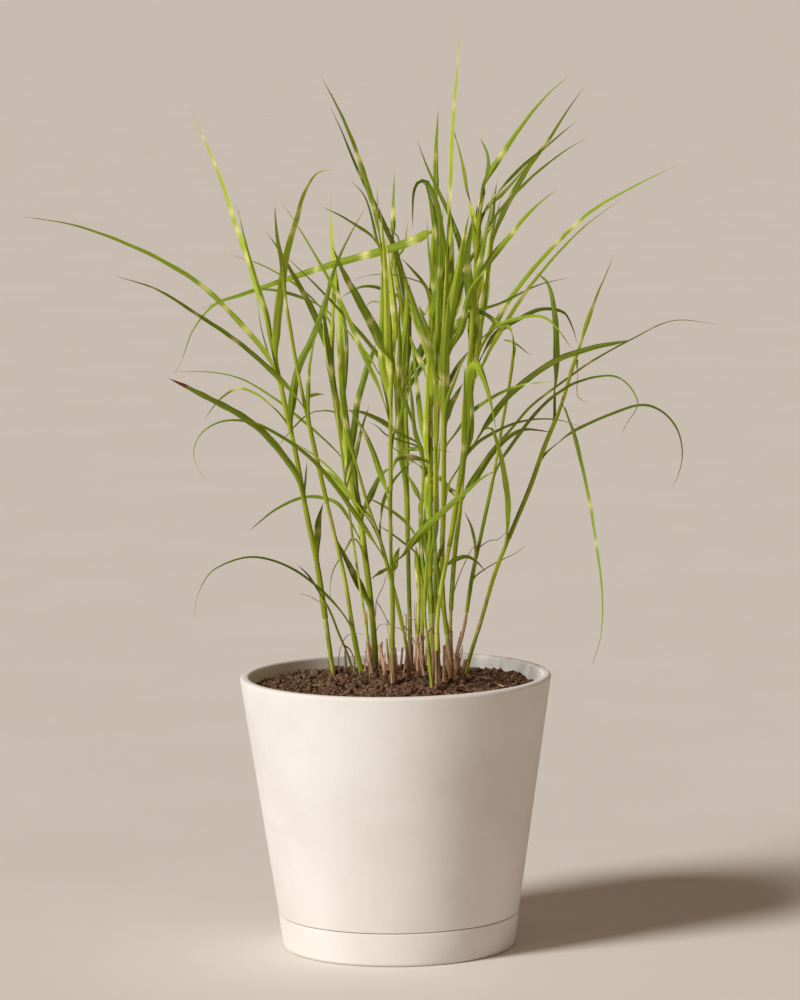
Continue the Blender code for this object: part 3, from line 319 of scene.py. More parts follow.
# Leaves that only the render shows, most of them close to their stems: the same columns again.
FINE_LEAVES = [
    ("stem_05", 538, 3.0, 90, 40, [(-65, 540), (-84, 535), (-99, 521), (-115, 503)]),
    ("stem_01", 455, 3.0, 40, -38, [(-87, 467), (-86, 479), (-84.6, 490)]),
    ("stem_05", 386, 2.5, 20, 40, [(-39, 412), (-50, 396), (-61, 378), (-64, 354), (-62, 344)]),
    ("stem_09", 395, 2.5, 10, -40, [(13, 403), (0, 414), (-17, 425)]),
    ("stem_10", 370, 3.5, 30, 38, [(33, 374), (41, 380), (48, 405)]),
    ("stem_10", 500, 3.0, 20, 40, [(3, 510), (-8, 515), (-15, 523), (-24, 527)]),
    ("stem_10", 480, 2.5, 90, -40, [(20, 487), (9, 495), (0, 502), (-7, 507)]),
    ("stem_15", 530, 4.0, -120, 38, [(55, 548), (62, 566), (70, 585), (78, 595)]),
    ("stem_06", 690, 3.0, -150, -38, [(-12, 705), (-17, 730), (-24, 752), (-38, 768)]),
    ("stem_06", 640, 3.0, -60, 40, [(-9, 645), (-15, 647), (-20, 646), (-24, 643)]),
    ("stem_13", 640, 1.8, -30, 42, [
        (32, 664), (20, 669), (10, 672), (-10, 674), (-27, 672), (-37, 668)]),
    ("stem_08", 680, 2.5, 110, -40, [(9, 710), (0, 719), (-5, 724)]),
    ("stem_08", 685, 3.0, 180, 38, [(14, 700), (17, 720), (19, 727)]),
    ("stem_06", 700, 2.5, -90, -42, [(-11, 725), (-11, 740), (-12, 762)]),
    ("stem_12", 730, 4.0, -110, 40, [(105, 745), (120, 761), (135, 778), (146, 790)]),
    ("stem_13", 610, 3.5, 20, 42, [(27, 645), (33, 633), (38, 645), (41, 651)]),
    ("stem_17", 604, 3.0, 120, -40, [(108, 608), (122, 604), (135, 594), (141, 591)]),
    ("stem_18", 590, 1.5, 40, 40, [(185, 570), (185, 550), (195, 543)]),
    ("stem_17", 368, 2.0, 30, -40, [(85, 374), (92, 379), (105, 386), (120, 393), (133, 402)]),
    ("stem_01", 548, 2.5, 90, 38, [(-112, 566), (-120, 590), (-129, 624), (-133, 660)]),
    ("stem_08", 620, 6.5, 90, -34, [(18, 650), (8, 690), (-4, 722), (-12, 741)]),
    ("stem_05", 560, 6.0, 90, 36, [(-62, 590), (-66, 622), (-62, 660), (-59, 694)]),
    ("stem_13", 610, 6.5, 40, -36, [(44, 650), (49, 690), (52, 716), (54, 742)]),
    ("stem_12", 640, 6.5, -170, 36, [(86, 670), (92, 700), (99, 732), (104, 758)]),
    ("stem_16", 610, 5.0, 130, -38, [(93, 645), (100, 690), (105, 725), (112, 752)]),
    ("stem_14", 590, 6.0, -20, 38, [(46, 620), (42, 660), (38, 700), (37, 730)]),
    ("stem_05", 452, 6.5, 40, -36, [(-44, 480), (-50, 512), (-56, 545), (-61, 572), (-66, 590)]),
    ("stem_05", 520, 5.5, 150, 38, [
        (-49, 550), (-49.5, 580), (-50, 610), (-51, 645), (-54, 680), (-56, 700)]),
    ("stem_05", 530, 4.5, 100, -40, [
        (-47, 560), (-44.5, 590), (-44, 612), (-46, 630), (-50, 648), (-53, 662)]),
    ("stem_05", 425, 6.0, 60, 38, [
        (-39, 447), (-43, 470), (-46, 500), (-48.5, 530), (-51, 560), (-53, 590), (-54, 620)]),
    ("stem_05", 436, 5.0, 10, -38, [
        (-36, 455), (-38, 480), (-41.5, 505), (-45, 535), (-47, 565), (-47.5, 600)]),
    ("stem_04", 470, 7.0, 0, 38, [
        (-42, 495), (-38, 520), (-35, 545), (-30, 563), (-23, 586), (-15, 605)]),
    ("stem_04", 462, 5.0, 30, -38, [(-40, 480), (-35, 500), (-31, 517), (-27, 530), (-22, 545)]),
    ("stem_06", 432, 6.5, -60, -38, [
        (-5, 450), (-11, 470), (-18, 494), (-26, 514), (-35, 530), (-45, 545)]),
    ("stem_07", 428, 9.0, 30, 40, [(-31, 441), (-43, 452), (-57, 468), (-72, 482), (-84, 495)]),
    ("stem_05", 556, 5.0, 40, -38, [(-60, 590), (-63, 610), (-65, 628), (-68, 645)]),
    ("stem_03", 548, 3.2, 0, 40, [(-80, 554.5), (-73, 556), (-66, 555)]),
    ("stem_06", 560, 2.5, 10, 40, [(-12, 575), (-22, 592), (-35, 608), (-44, 620), (-50, 633)]),
    ("stem_06", 520, 6.5, -130, 38, [
        (-5, 545), (-8, 570), (-9.5, 600), (-8, 640), (-8, 680), (-10, 715)]),
    ("stem_06", 500, 5.0, -70, -36, [
        (3, 520), (5, 545), (4, 570), (2, 590), (3, 620), (5, 645)]),
    ("stem_06", 548, 5.5, -180, 36, [
        (-3, 575), (-4, 605), (-4, 640), (-5, 680), (-7, 715), (-9, 740)]),
    ("stem_06", 560, 6.0, -40, -38, [(3, 590), (5, 620), (3, 650), (0, 680), (-4, 715)]),
    ("stem_08", 520, 5.0, 60, 36, [(6, 545), (7, 575), (8.5, 600), (8, 625), (9, 650)]),
    ("stem_08", 545, 6.0, 100, -38, [(10, 570), (12, 600), (16, 630), (16, 660), (12, 685)]),
    ("stem_08", 560, 5.0, 190, 36, [(17, 590), (17.5, 615), (19, 640), (20, 655), (18, 668)]),
    ("stem_13", 585, 6.0, 60, -36, [(36, 605), (31, 620), (25, 637), (19, 655), (14, 672)]),
    ("stem_13", 575, 5.5, 20, 38, [(36, 592), (32, 607), (27, 619), (21, 632), (17, 642)]),
    ("stem_13", 560, 5.0, 90, -38, [(33, 575), (28, 590), (22, 603), (18, 616)]),
    ("stem_08", 560, 6.5, -160, 38, [
        (22, 580), (31, 600), (40, 618), (48, 634), (57, 650), (65, 672), (73, 695), (79, 712)]),
    ("stem_13", 575, 5.5, -60, 40, [
        (45, 595), (55, 612), (65, 624), (77, 633), (88, 635), (96, 632), (104, 622), (110, 613)]),
    ("stem_08", 497, 5.5, 60, 20, [(20, 500), (32, 500), (44, 499), (50, 497)]),
    ("stem_10", 470, 6.0, 100, 30, [(30, 490), (26, 505), (22, 515), (20, 530)]),
    ("stem_13", 470, 6.5, 90, 36, [(34, 490), (30, 515), (27, 540), (25, 562), (22, 590), (19, 612)]),
    ("stem_10", 480, 4.5, 40, 36, [(27, 500), (22, 520), (20, 545), (18, 570), (20, 590)]),
    ("stem_08", 470, 5.0, 120, -36, [(15, 500), (14, 525), (15, 550), (20, 575), (24, 600)]),
    ("stem_08", 455, 5.5, 70, 36, [(10, 480), (6, 505), (8, 530), (13, 552), (15, 575)]),
    ("stem_13", 470, 5.5, 30, 36, [(33, 500), (33.5, 530), (35, 560), (36.5, 590), (38, 620)]),
    ("stem_13", 400, 7.0, 110, -34, [(33, 420), (33, 445), (35, 470), (36, 495), (36, 520)]),
    ("stem_13", 390, 6.5, -10, 34, [(41, 410), (42.5, 440), (43, 470), (46, 495), (48, 515)]),
    ("stem_14", 480, 5.0, -90, -36, [
        (44, 505), (45.5, 535), (47, 565), (50, 595), (53, 625), (56, 650)]),
    ("stem_14", 500, 5.0, -10, 36, [(42, 520), (42, 545), (43, 570), (41, 595), (43, 625)]),
    ("stem_15", 520, 9.0, -130, 30, [(52, 545), (52, 570), (53, 600), (56, 630), (58, 655)]),
    ("stem_15", 545, 6.0, -30, -36, [
        (53, 570), (57, 600), (59, 630), (61, 660), (62, 690), (62, 715), (61, 735)]),
    ("stem_13", 590, 6.5, 130, 36, [(41, 615), (42, 645), (44, 675), (45, 705), (46, 730)]),
    ("stem_14", 570, 5.5, -100, 36, [(47, 600), (47, 630), (48, 660), (50, 690), (50, 720), (47, 745)]),
    ("stem_15", 610, 6.0, 0, 36, [(55, 640), (57, 665), (59, 690), (60, 715), (58, 740), (57, 755)]),
    ("stem_14", 600, 8.0, -60, -36, [
        (51, 630), (52, 660), (48, 700), (45, 725), (41, 748), (37, 760), (33, 767), (28, 764)]),
    ("stem_15", 575, 8.0, -170, 36, [
        (55, 600), (58, 625), (62, 648), (66, 668), (70, 690), (74, 712), (79, 733)]),
    ("stem_13", 530, 5.0, -40, -36, [(40, 555), (42, 580), (45, 605), (46, 635), (46, 655)]),
    ("stem_15", 590, 5.5, 60, 36, [(57, 615), (62, 635), (67, 650), (71, 668), (74, 690)]),
    ("stem_13", 540, 4.0, -120, 36, [(42, 552), (46, 566), (45, 578)]),
    ("stem_15", 540, 4.0, -60, 38, [(55, 560), (60, 572), (66, 583), (73, 592), (80, 600)]),
    ("stem_13", 468, 5.0, -60, 38, [(44, 473), (51, 466), (57, 458), (62, 451)]),
    ("stem_14", 372, 4.5, -60, 36, [(43.5, 385), (46.5, 398), (50, 407)]),
    ("stem_13", 360, 5.5, 90, 36, [(33, 378), (31.5, 400), (31, 425), (32, 450)]),
    ("stem_12", 470, 7.0, -90, 34, [(76, 500), (78.5, 530), (79, 556), (80, 580)]),
    ("stem_12", 440, 5.5, -170, -34, [(69, 480), (72, 510), (73, 540), (73, 570), (72, 583)]),
    ("stem_12", 560, 5.0, -80, 36, [
        (81, 585), (84, 610), (85, 640), (86, 665), (87, 690), (88, 705)]),
    ("stem_12", 600, 6.0, -130, 36, [
        (82, 625), (86, 650), (89, 680), (90, 705), (88, 725), (87, 742)]),
    ("stem_16", 560, 5.0, 90, -36, [(83, 585), (86, 605), (90, 630), (92, 655), (93, 680)]),
    ("stem_16", 620, 5.5, 160, 36, [(94, 650), (97, 680), (99, 705), (103, 728)]),
    ("stem_12", 625, 6.5, -230, -36, [(80, 650), (78, 672), (77, 692), (80, 712), (84, 735)]),
    ("stem_12", 660, 7.0, -120, 34, [(85, 690), (85, 712), (88, 735), (92, 755), (96, 768)]),
    ("stem_11", 300, 4.5, -40, 36, [(31, 330), (31, 360), (33, 390), (36, 420), (38, 445)]),
    ("stem_13", 330, 5.0, 40, -36, [(33, 350), (30, 375), (28, 400), (29, 430), (30, 455)]),
    ("stem_15", 330, 5.0, -60, 36, [(46, 355), (43, 380), (41, 405), (40, 430)]),
    ("stem_09", 335, 6.5, 60, 36, [(24, 355), (23, 375), (22, 390), (22, 403)]),
    ("stem_15", 596, 7.0, 30, 36, [
        (56, 641), (62, 661), (68, 676), (74, 696), (80, 713), (87, 723), (92, 735)]),
    ("stem_14", 590, 5.0, -100, 36, [
        (54, 619), (62, 638), (70, 662), (76, 682), (86, 697), (97, 714), (107, 728)]),
    ("stem_15", 580, 5.5, -180, 36, [
        (60, 600), (70, 619), (75, 643), (81, 660), (91, 673), (98, 684)]),
    ("stem_13", 560, 6.0, 40, 36, [
        (47, 588), (52, 604), (55, 619), (64, 634), (70, 647), (73, 659)]),
]
CLOSE_FROM = 26                     # from this row on the leaves stand close to their stems
CLOSE_HEIGHT = 500                  # those that start above this are wider than their row says
CLOSE_WIDER = 1.3
CLOSE_ROLL = 0.45

# Leaves whose last stretch has died back, and how long that stretch is in mm.
DEAD_TIPS = {
    "leaf_10": 34, "leaf_11": 30, "leaf_15": 16, "leaf_19": 22, "leaf_29": 26, "leaf_35": 10,
    "leaf_03": 22, "leaf_24": 30, "leaf_16": 26, "leaf_18": 20, "small_24": 14, "small_25": 26,
    "small_33": 12, "small_03": 40,
}

# Cross bands read off the photograph: heights in mm at which a leaf is crossed by one.
BANDS = {
    "leaf_05": [681, 693, 707],
    "leaf_01": [691, 720, 737, 787, 812], "leaf_02": [718, 738, 762],
    "leaf_03": [622, 642, 662], "leaf_04": [610, 637, 664], "leaf_06": [610, 655],
    "leaf_07": [628, 665], "leaf_24": [402, 443], "leaf_26": [606, 640],
    "leaf_27": [640, 705, 720], "leaf_28": [572, 652], "leaf_30": [714],
    "leaf_31": [748, 800], "leaf_33": [742, 790], "leaf_36": [757, 773], "leaf_37": [500],
    "small_31": [787], "small_32": [742, 790], "small_37": [755, 842, 885], "small_04": [573],
    "small_09": [655], "small_05": [573], "small_15": [742, 790], "small_38": [742],
    "fine_26": [505, 548, 575], "fine_29": [486, 530, 590], "fine_31": [548],
    "fine_39": [525, 555, 585], "fine_40": [578, 676], "fine_41": [640, 690],
    "fine_46": [610, 635], "fine_59": [541], "fine_62": [648, 690, 712],
    "fine_67": [603, 712], "fine_68": [589, 655], "fine_69": [648], "fine_78": [685, 712, 738],
    "fine_79": [583, 650], "fine_82": [742], "fine_87": [650, 672, 693, 722],
    "fine_90": [612, 640],
}

# Leaves that are plain: their bands are too faint to see.
PLAIN = {
    "leaf_10", "leaf_11", "leaf_12", "leaf_13", "leaf_14", "leaf_15", "leaf_16", "leaf_18",
    "leaf_19", "leaf_20", "leaf_21", "leaf_22", "leaf_23", "leaf_25", "leaf_29", "leaf_34",
    "leaf_35", "leaf_09", "leaf_08", "small_10", "small_16", "small_25", "small_40",
}

# How bright a leaf is, from 0 for dark olive to 1 for yellow green; the others are in between. It is
# partly the leaf's own colour and partly painted light and shade: leaves in shade are set darker,
# sunlit ones brighter.
TONES = {
    "leaf_01": 0.8, "leaf_02": 0.85, "leaf_04": 0.4, "leaf_05": 0.32, "leaf_06": 0.3,
    "leaf_07": 0.35, "leaf_08": 0.2, "leaf_09": 0.25, "leaf_10": 0.25, "leaf_11": 0.15,
    "leaf_13": 0.2, "leaf_14": 0.3, "leaf_15": 0.15, "leaf_16": 0.2, "leaf_18": 0.15,
    "leaf_19": 0.15, "leaf_20": 0.2, "leaf_21": 0.1, "leaf_23": 0.3, "leaf_24": 0.4,
    "leaf_25": 0.1, "leaf_26": 0.8, "leaf_27": 0.6, "leaf_28": 0.75, "leaf_29": 0.05,
    "leaf_30": 0.4, "leaf_31": 0.4, "leaf_32": 0.35, "leaf_33": 0.45, "leaf_34": 0.05,
    "leaf_35": 0.1, "leaf_36": 0.1, "leaf_37": 0.5, "small_37": 0.95, "small_32": 0.7,
    "small_06": 0.95, "small_29": 0.15, "small_11": 0.2, "small_01": 0.15, "small_10": 0.15,
    "fine_26": 0.9, "fine_27": 1.0, "fine_28": 0.3, "fine_29": 0.95, "fine_30": 0.15,
    "fine_31": 0.15, "fine_32": 0.3, "fine_33": 0.35, "fine_34": 0.3, "fine_35": 0.1,
    "fine_36": 0.05, "fine_38": 0.6, "fine_39": 1.0, "fine_40": 0.9, "fine_41": 1.0,
    "fine_42": 0.4, "fine_43": 0.9, "fine_44": 0.15, "fine_45": 0.3, "fine_46": 0.9,
    "fine_47": 0.3, "fine_48": 0.05, "fine_49": 0.15, "fine_50": 0.7, "fine_51": 0.3,
    "fine_52": 0.5, "fine_53": 0.4, "fine_54": 0.7, "fine_55": 0.6, "fine_56": 0.9,
    "fine_57": 0.65, "fine_58": 0.5, "fine_59": 1.0, "fine_60": 0.35, "fine_61": 0.45,
    "fine_62": 0.9, "fine_63": 0.95, "fine_64": 0.4, "fine_65": 0.85, "fine_66": 0.2,
    "fine_67": 0.6, "fine_68": 0.95, "fine_69": 0.8, "fine_70": 0.3, "fine_71": 0.3,
    "fine_72": 0.2, "fine_73": 0.1, "fine_74": 0.1, "fine_75": 0.4, "fine_76": 0.35,
    "fine_77": 0.3, "fine_78": 0.9, "fine_79": 0.95, "fine_80": 0.95, "fine_81": 0.4,
    "fine_82": 0.4, "fine_83": 0.5, "fine_84": 0.4, "fine_85": 0.2, "fine_86": 0.15,
    "fine_20": 0.5, "fine_21": 0.85, "fine_22": 0.6, "fine_87": 0.9, "fine_88": 0.15,
    "fine_89": 0.4, "fine_90": 0.85,
}

# A blade as the photograph shows it: its width as a share of its solid's or its row's, the share
# of its length at which it is widest, and how full it stays from there to its tip.
USUAL_BLADE = (1.0, 0.12, 2.6)
BLADES = {
    "leaf_01": (0.85, 0.12, 3.0), "leaf_02": (1.0, 0.15, 3.0), "leaf_03": (0.88, 0.12, 3.0),
    "leaf_04": (0.95, 0.12, 3.0), "leaf_05": (1.0, 0.0, 1.5), "leaf_06": (0.85, 0.12, 2.6),
    "leaf_07": (0.95, 0.12, 3.0), "leaf_08": (0.95, 0.12, 1.8), "leaf_09": (0.9, 0.12, 2.4),
    "leaf_10": (0.86, 0.60, 4.0), "leaf_11": (0.68, 0.12, 4.0), "leaf_12": (0.65, 0.12, 2.6),
    "leaf_13": (0.48, 0.12, 3.0), "leaf_14": (0.5, 0.12, 2.0), "leaf_15": (0.85, 0.12, 2.6),
    "leaf_16": (0.8, 0.12, 2.4), "leaf_17": (0.85, 0.12, 3.0), "leaf_18": (0.75, 0.12, 2.4),
    "leaf_19": (0.65, 0.12, 2.4), "leaf_20": (0.95, 0.70, 3.0), "leaf_21": (0.85, 0.12, 2.6),
    "leaf_22": (0.8, 0.12, 2.4), "leaf_23": (0.55, 0.12, 4.0), "leaf_24": (0.58, 0.12, 2.6),
    "leaf_25": (0.92, 0.30, 5.0), "leaf_26": (0.72, 0.04, 1.3), "leaf_27": (0.7, 0.12, 3.0),
    "leaf_28": (0.68, 0.12, 2.0), "leaf_29": (0.85, 0.12, 3.0), "leaf_30": (0.78, 0.12, 2.0),
    "leaf_31": (0.72, 0.12, 2.0), "leaf_32": (0.75, 0.12, 2.6), "leaf_33": (0.8, 0.12, 1.7),
    "leaf_34": (1.15, 0.12, 2.6), "leaf_35": (1.1, 0.10, 2.6), "leaf_36": (0.95, 0.12, 2.6),
    "leaf_37": (0.95, 0.42, 1.2),
    "small_01": (1.3, 0.12, 2.6), "small_03": (0.8, 0.12, 2.6), "small_10": (0.85, 0.12, 2.6),
    "small_12": (1.2, 0.12, 4.0), "small_13": (1.3, 0.12, 2.6), "small_14": (0.75, 0.12, 2.6),
    "small_20": (0.8, 0.12, 2.6), "small_21": (1.0, 0.12, 1.7), "small_28": (1.4, 0.12, 2.6),
    "small_31": (1.3, 0.12, 2.6), "small_32": (1.25, 0.12, 2.6), "small_35": (1.5, 0.12, 4.0),
    "small_36": (0.8, 0.12, 2.6), "small_37": (0.85, 0.12, 2.6),
    "fine_27": (0.95, 0.12, 2.6), "fine_28": (0.95, 0.12, 2.6), "fine_29": (0.9, 0.12, 4.0),
    "fine_31": (1.0, 0.20, 12.0), "fine_62": (1.2, 0.12, 2.6), "fine_63": (1.2, 0.12, 2.6),
    "fine_73": (0.9, 0.12, 12.0), "fine_86": (0.9, 0.12, 12.0),
}
BLADE_BASE = 0.55                   # a blade's width at its collar as a share of its widest
SHORT_TURNS = {"leaf_05": 6, "leaf_37": 30}        # mm over which these turn from their stem
SLIM_STEMS = {"stem_06": 0.62, "stem_07": 0.68, "stem_16": 0.75, "stem_17": 0.7}

# Stems whose foot has died back, and how high up in mm; the others are green down to the soil.
DEAD_FEET = {
    "stem_04": 34, "stem_05": 40, "stem_06": 42, "stem_07": 30, "stem_08": 30, "stem_09": 36,
    "stem_10": 38, "stem_12": 34, "stem_13": 44, "stem_14": 30, "stem_15": 40, "stem_16": 46,
    "stem_17": 62,
}

# Dry stubs that only the render shows: (x, y, height, lean across, lean in depth, width) in mm.
DRY_STUBS = [
    (-63, 56, 30, 0, 3, 2.6), (-66, 60, 18, 3, 2, 2.2), (-50, 66, 24, -3, 2, 2.8),
    (-42, 52, 18, 0, 0, 2.0), (-39, 20, 8, -2, -2, 3.0), (-36, 16, 6, 1, -3, 2.6),
    (-26, 64, 60, 1, 3, 2.4), (-17, 50, 30, 1, 2, 2.6), (-12, 4, 22, 1, 1, 2.2),
    (-6, 30, 34, 0, 2, 2.4), (-7, 22, 28, -8, 1, 2.2), (2, 16, 26, 0, 2, 3.0),
    (5, 40, 24, 1, 2, 2.8), (10, 52, 57, 0, 3, 2.0), (15, 60, 32, -1, 3, 2.8),
    (20, 66, 69, 1, 4, 1.8), (29, -6, 32, -7, 2, 2.6), (22, 26, 30, 0, 2, 3.2),
    (28, 20, 31, 0, 2, 3.2), (41, -46, 35, -1, 0, 3.2), (45, 40, 30, 0, 2, 2.6),
    (49, 34, 28, 0, 3, 2.6), (48, -30, 38, 1, 0, 2.8), (56, 34, 25, -1, 2, 2.8),
    (37, -20, 44, -1, 2, 2.6), (34, 44, 36, 1, 3, 2.6), (52, 60, 34, -1, 4, 2.4),
    (8, 6, 16, 2, -1, 2.8), (13, 30, 22, -2, 1, 2.6), (25, 44, 28, -1, 2, 2.6),
    (33, 8, 20, 2, -2, 2.4), (38, 30, 24, 2, 2, 3.0), (60, 20, 20, 4, -2, 2.6),
    (62, 48, 26, 5, 3, 2.6), (66, 34, 16, 5, 1, 2.2), (-22, 44, 18, -2, 1, 2.4),
    (-30, 54, 14, -1, 2, 2.4), (-2, 52, 30, -1, 3, 2.4), (40, 64, 30, 1, 4, 2.6),
    (-56, 46, 10, -2, 0, 2.2), (30, 68, 40, 0, 4, 2.2), (3, -30, 12, 3, -1, 2.2),
]

# Papery sheaths round the feet of the stems: (stem, height, clear of the stem, turn in degrees).
DRY_SHEATHS = [
    ("stem_04", 40, 0.4, 20), ("stem_05", 36, 0.7, 160), ("stem_05", 50, 0.4, -40),
    ("stem_06", 42, 0.6, 200), ("stem_06", 30, 0.9, 20), ("stem_07", 34, 0.4, 90),
    ("stem_08", 34, 0.6, 10), ("stem_09", 34, 0.5, -60), ("stem_10", 40, 0.6, 100),
    ("stem_11", 14, 0.4, -30), ("stem_12", 32, 0.4, 120), ("stem_13", 44, 0.7, 180),
    ("stem_13", 30, 1.0, 30), ("stem_14", 34, 0.5, -90), ("stem_15", 38, 0.6, 150),
    ("stem_15", 26, 0.9, -20), ("stem_16", 46, 0.6, 60), ("stem_17", 44, 0.6, 190),
    ("stem_17", 30, 1.0, 10), ("stem_01", 16, 0.4, 200), ("stem_03", 10, 0.4, -40),
]

# Dry fibres, each from the soil, a stem or another fibre: (depth at its start and at its end,
# width, readings) in mm.
FIBRES = [
    (58, 56, 1.0, [(-57, 273), (-56, 295), (-53, 305), (-49, 312), (-43, 315), (-37, 315),
                   (-31, 314)]),
    (58, 46, 1.5, [(-22, 326), (-20, 331), (-18, 348), (-15, 355), (-11, 363), (-8, 373)]),
    (53, 60, 1.3, [(-18, 348), (-13, 339), (-8, 329), (-4, 323), (0, 321), (8, 318), (13, 312)]),
    (57, 40, 1.0, [(-21, 313), (-19, 317), (-17, 321), (-14, 324), (-8, 324), (-4, 322)]),
    (55, 50, 1.2, [(-8, 329), (-7, 320), (-6, 312), (-5, 303), (-5, 296)]),
    (54, 60, 1.0, [(28, 326), (18, 329), (14, 331), (10, 335), (9, 331)]),
    (-27, -20, 1.4, [(7.5, 323), (10, 321), (12, 319), (16, 312), (19, 307), (23, 301),
                     (27, 293), (30, 288)]),
    (40, 44, 1.3, [(22, 273), (22, 286), (21, 310), (20, 328), (20, 347)]),
    (-38, -30, 2.4, [(41, 322), (34, 317), (31, 313), (29, 309), (27, 302)]),
    (36, 40, 1.0, [(55.5, 298), (59, 292), (63, 286), (65, 282), (66, 275)]),
    (35, 28, 1.1, [(55, 295), (57, 300), (57, 308), (54, 318), (48, 328)]),
    (43, 58, 1.6, [(58, 352), (64, 370), (70, 384), (76, 396), (83, 406)]),
    (60, 60, 2.0, [(-50, 303), (-46, 300), (-42, 292), (-40, 284)]),
    (41, 35, 1.2, [(-66, 341), (-72, 346), (-79, 350), (-86, 354), (-94, 356)]),
    (30, 30, 1.6, [(-32, 272), (-32, 275), (-30, 285), (-29, 296), (-29, 306)]),
    (-6, -6, 1.8, [(-26, 268), (-26, 276), (-27, 284), (-29, 290), (-30, 298)]),
    (62, 60, 1.2, [(84, 399), (89, 403), (96, 407), (104, 408), (112, 415)]),
]

# Bits of straw lying on the soil: (x, y, length, heading in degrees, width) in mm.
STRAWS = [
    (-60, -6, 14, 28, 2.4), (-78, -20, 20, 8, 1.6), (-36, -28, 16, 30, 1.8), (6, -74, 18, -20, 1.6),
    (70, -40, 22, 40, 1.8), (104, -20, 14, 120, 1.6), (-96, -30, 12, 60, 1.4),
    (52, -80, 16, 10, 1.5), (20, -96, 12, 80, 1.5), (90, 20, 18, -30, 1.8), (30, 90, 20, 15, 1.8),
    (-30, 96, 18, 100, 1.6), (-90, 50, 16, -40, 1.6), (-110, 10, 12, 70, 1.4),
]

# The planter's and the soil's finer shape.
FOOT_ROUNDING = 4.0 * MM
SEAM_ROUNDING = 1.0 * MM
RIM_ROUNDING = 3.4 * MM
FLOOR_ROUNDING = 4.0 * MM
ON_THE_AXIS = 0.05 * MM             # a point of a profile that all but meets the axis
CLEAR_OF_SAUCER = 0.3 * MM          # under the pot's foot, as in the solids
POT_FOOT_CLEAR = 2.3 * MM           # round the pot's foot
POT_FOOT_EDGE = 3.0 * MM
POT_FOOT_FLARE = 1.6 * MM
HIDDEN_SEAM = 0.4 * MM
SAUCER_FLARE = 2.0 * MM
POT_WALL_STATIONS = (0.25, 0.5, 0.75)
INNER_WALL_HEIGHTS = (0.2, 0.1)
SOIL_SIDES = 320
SOIL_ROWS = 96
SOIL_WAVES = ((24 * MM, 3.0 * MM), (9 * MM, 2.4 * MM), (4.5 * MM, 1.7 * MM))
SOIL_CLEAR = 0.6 * MM               # of the pot's wall
SOIL_ABOVE_FLOOR = 0.4 * MM
SOIL_FOOT_CLEAR = 1.0 * MM
SOIL_WALL_HEIGHT = 0.15
SOIL_MIDDLE = 0.2 * MM
SOIL_TINT = 0.2
CRUMBS = 2200
CRUMB_SIZE = 3.3 * MM
CRUMB_ROUNDS = 2
CRUMB_SPREAD = 0.96                 # of the soil's area
CRUMB_SIZES = (0.42, 1.0)
CRUMB_SIZE_POWER = 2.5              # how much more often a crumb is small
CRUMB_LEAST = 0.4 * MM
CRUMB_SHAPES = (0.6, 1.3)
CRUMB_NOISE_REACH = 50
CRUMB_NOISE_SCALE = 1.3
CRUMB_LUMPS = 0.55
CRUMB_RISE = 0.25
FULL_TURN = 6.28                    # radians, the range of the ways in which a crumb lies
PALE_POWER = 1.5
PALEST_SIZE = 1.25
STRAW_LIFT = 1.6 * MM

# The studio: (name, degrees left of the camera, degrees up, strength, softness in degrees, colour).
LIGHTS = (
    ("key_light", 54, 34, 3.2, 16, (0.975, 0.985, 0.99)),
    ("fill_light", -40, 40, 0.05, 60, (1.0, 0.86, 0.72)),
)
SKY_COLOUR = (0.195, 0.145, 0.105, 1.0)
HORIZON_COLOUR = (0.595, 0.525, 0.455, 1.0)
HORIZON_GLOW = 0.06                 # how high the pale band above the floor's end reaches
HORIZON_FADE = 2.5                  # times that height, where the sky has its own colour
FLOOR_HALF = 500.0

# The camera, found by matching the planter's outline in the photograph.
CAMERA_DIP = math.radians(6.66)
CAMERA_LEAN = math.radians(0.78)
SENSOR = 36.0
LENS = 178.4
CLIP_END = 2000

# The colours as the eye reads them, 0 to 255.
FULL_COLOUR = 255
GAMMA = 2.2
PALETTE = {
    "olive leaf": (84, 102, 0), "green leaf": (138, 160, 8), "bright leaf": (204, 216, 60),
    # The pale streak colour of the leaves is partly painted highlight.
    "pale stripe and highlight": (200, 210, 118), "underside": (124, 144, 56), "midrib": (190, 202, 116),
    "dark sheath": (96, 112, 6), "pale sheath": (190, 196, 64), "band": (206, 202, 100),
    "pale band": (242, 234, 162), "dying tip": (176, 146, 70), "dead tip": (96, 56, 30),
    "pale dead tip": (150, 102, 58), "dark culm": (106, 122, 14), "pale culm": (194, 202, 80),
    "culm node": (140, 104, 44), "culm bloom": (206, 208, 128), "culm streak": (146, 112, 56),
    "dark culm straw": (108, 76, 48), "pale culm straw": (212, 176, 134),
    "culm fleck": (116, 82, 36), "dark straw": (72, 48, 32), "brown straw": (156, 114, 80),
    # The darkest soil colour is partly painted shade in the gaps between crumbs.
    "tan straw": (152, 114, 80), "pale straw": (228, 190, 148), "dark soil and shade": (50, 33, 23),
    "soil": (150, 114, 88), "bark": (132, 100, 76), "pale bark": (222, 186, 156),
    "grain of soil": (212, 182, 152), "stone": (224, 218, 211), "pale stone": (234, 229, 223),
    "brushed stone": (214, 206, 195), "stone grain": (204, 195, 182),
    "pinhole": (170, 154, 136), "floor": (222, 214, 204), "pale floor": (230, 223, 214),
}


def place(across, up, depth):
    """A reading in the upright plane, in metres, slid along the line of sight to its depth."""
    reading = np.array([across, 0.0, up])
    return EYE + (reading - EYE) * ((depth - EYE[1]) / -EYE[1])


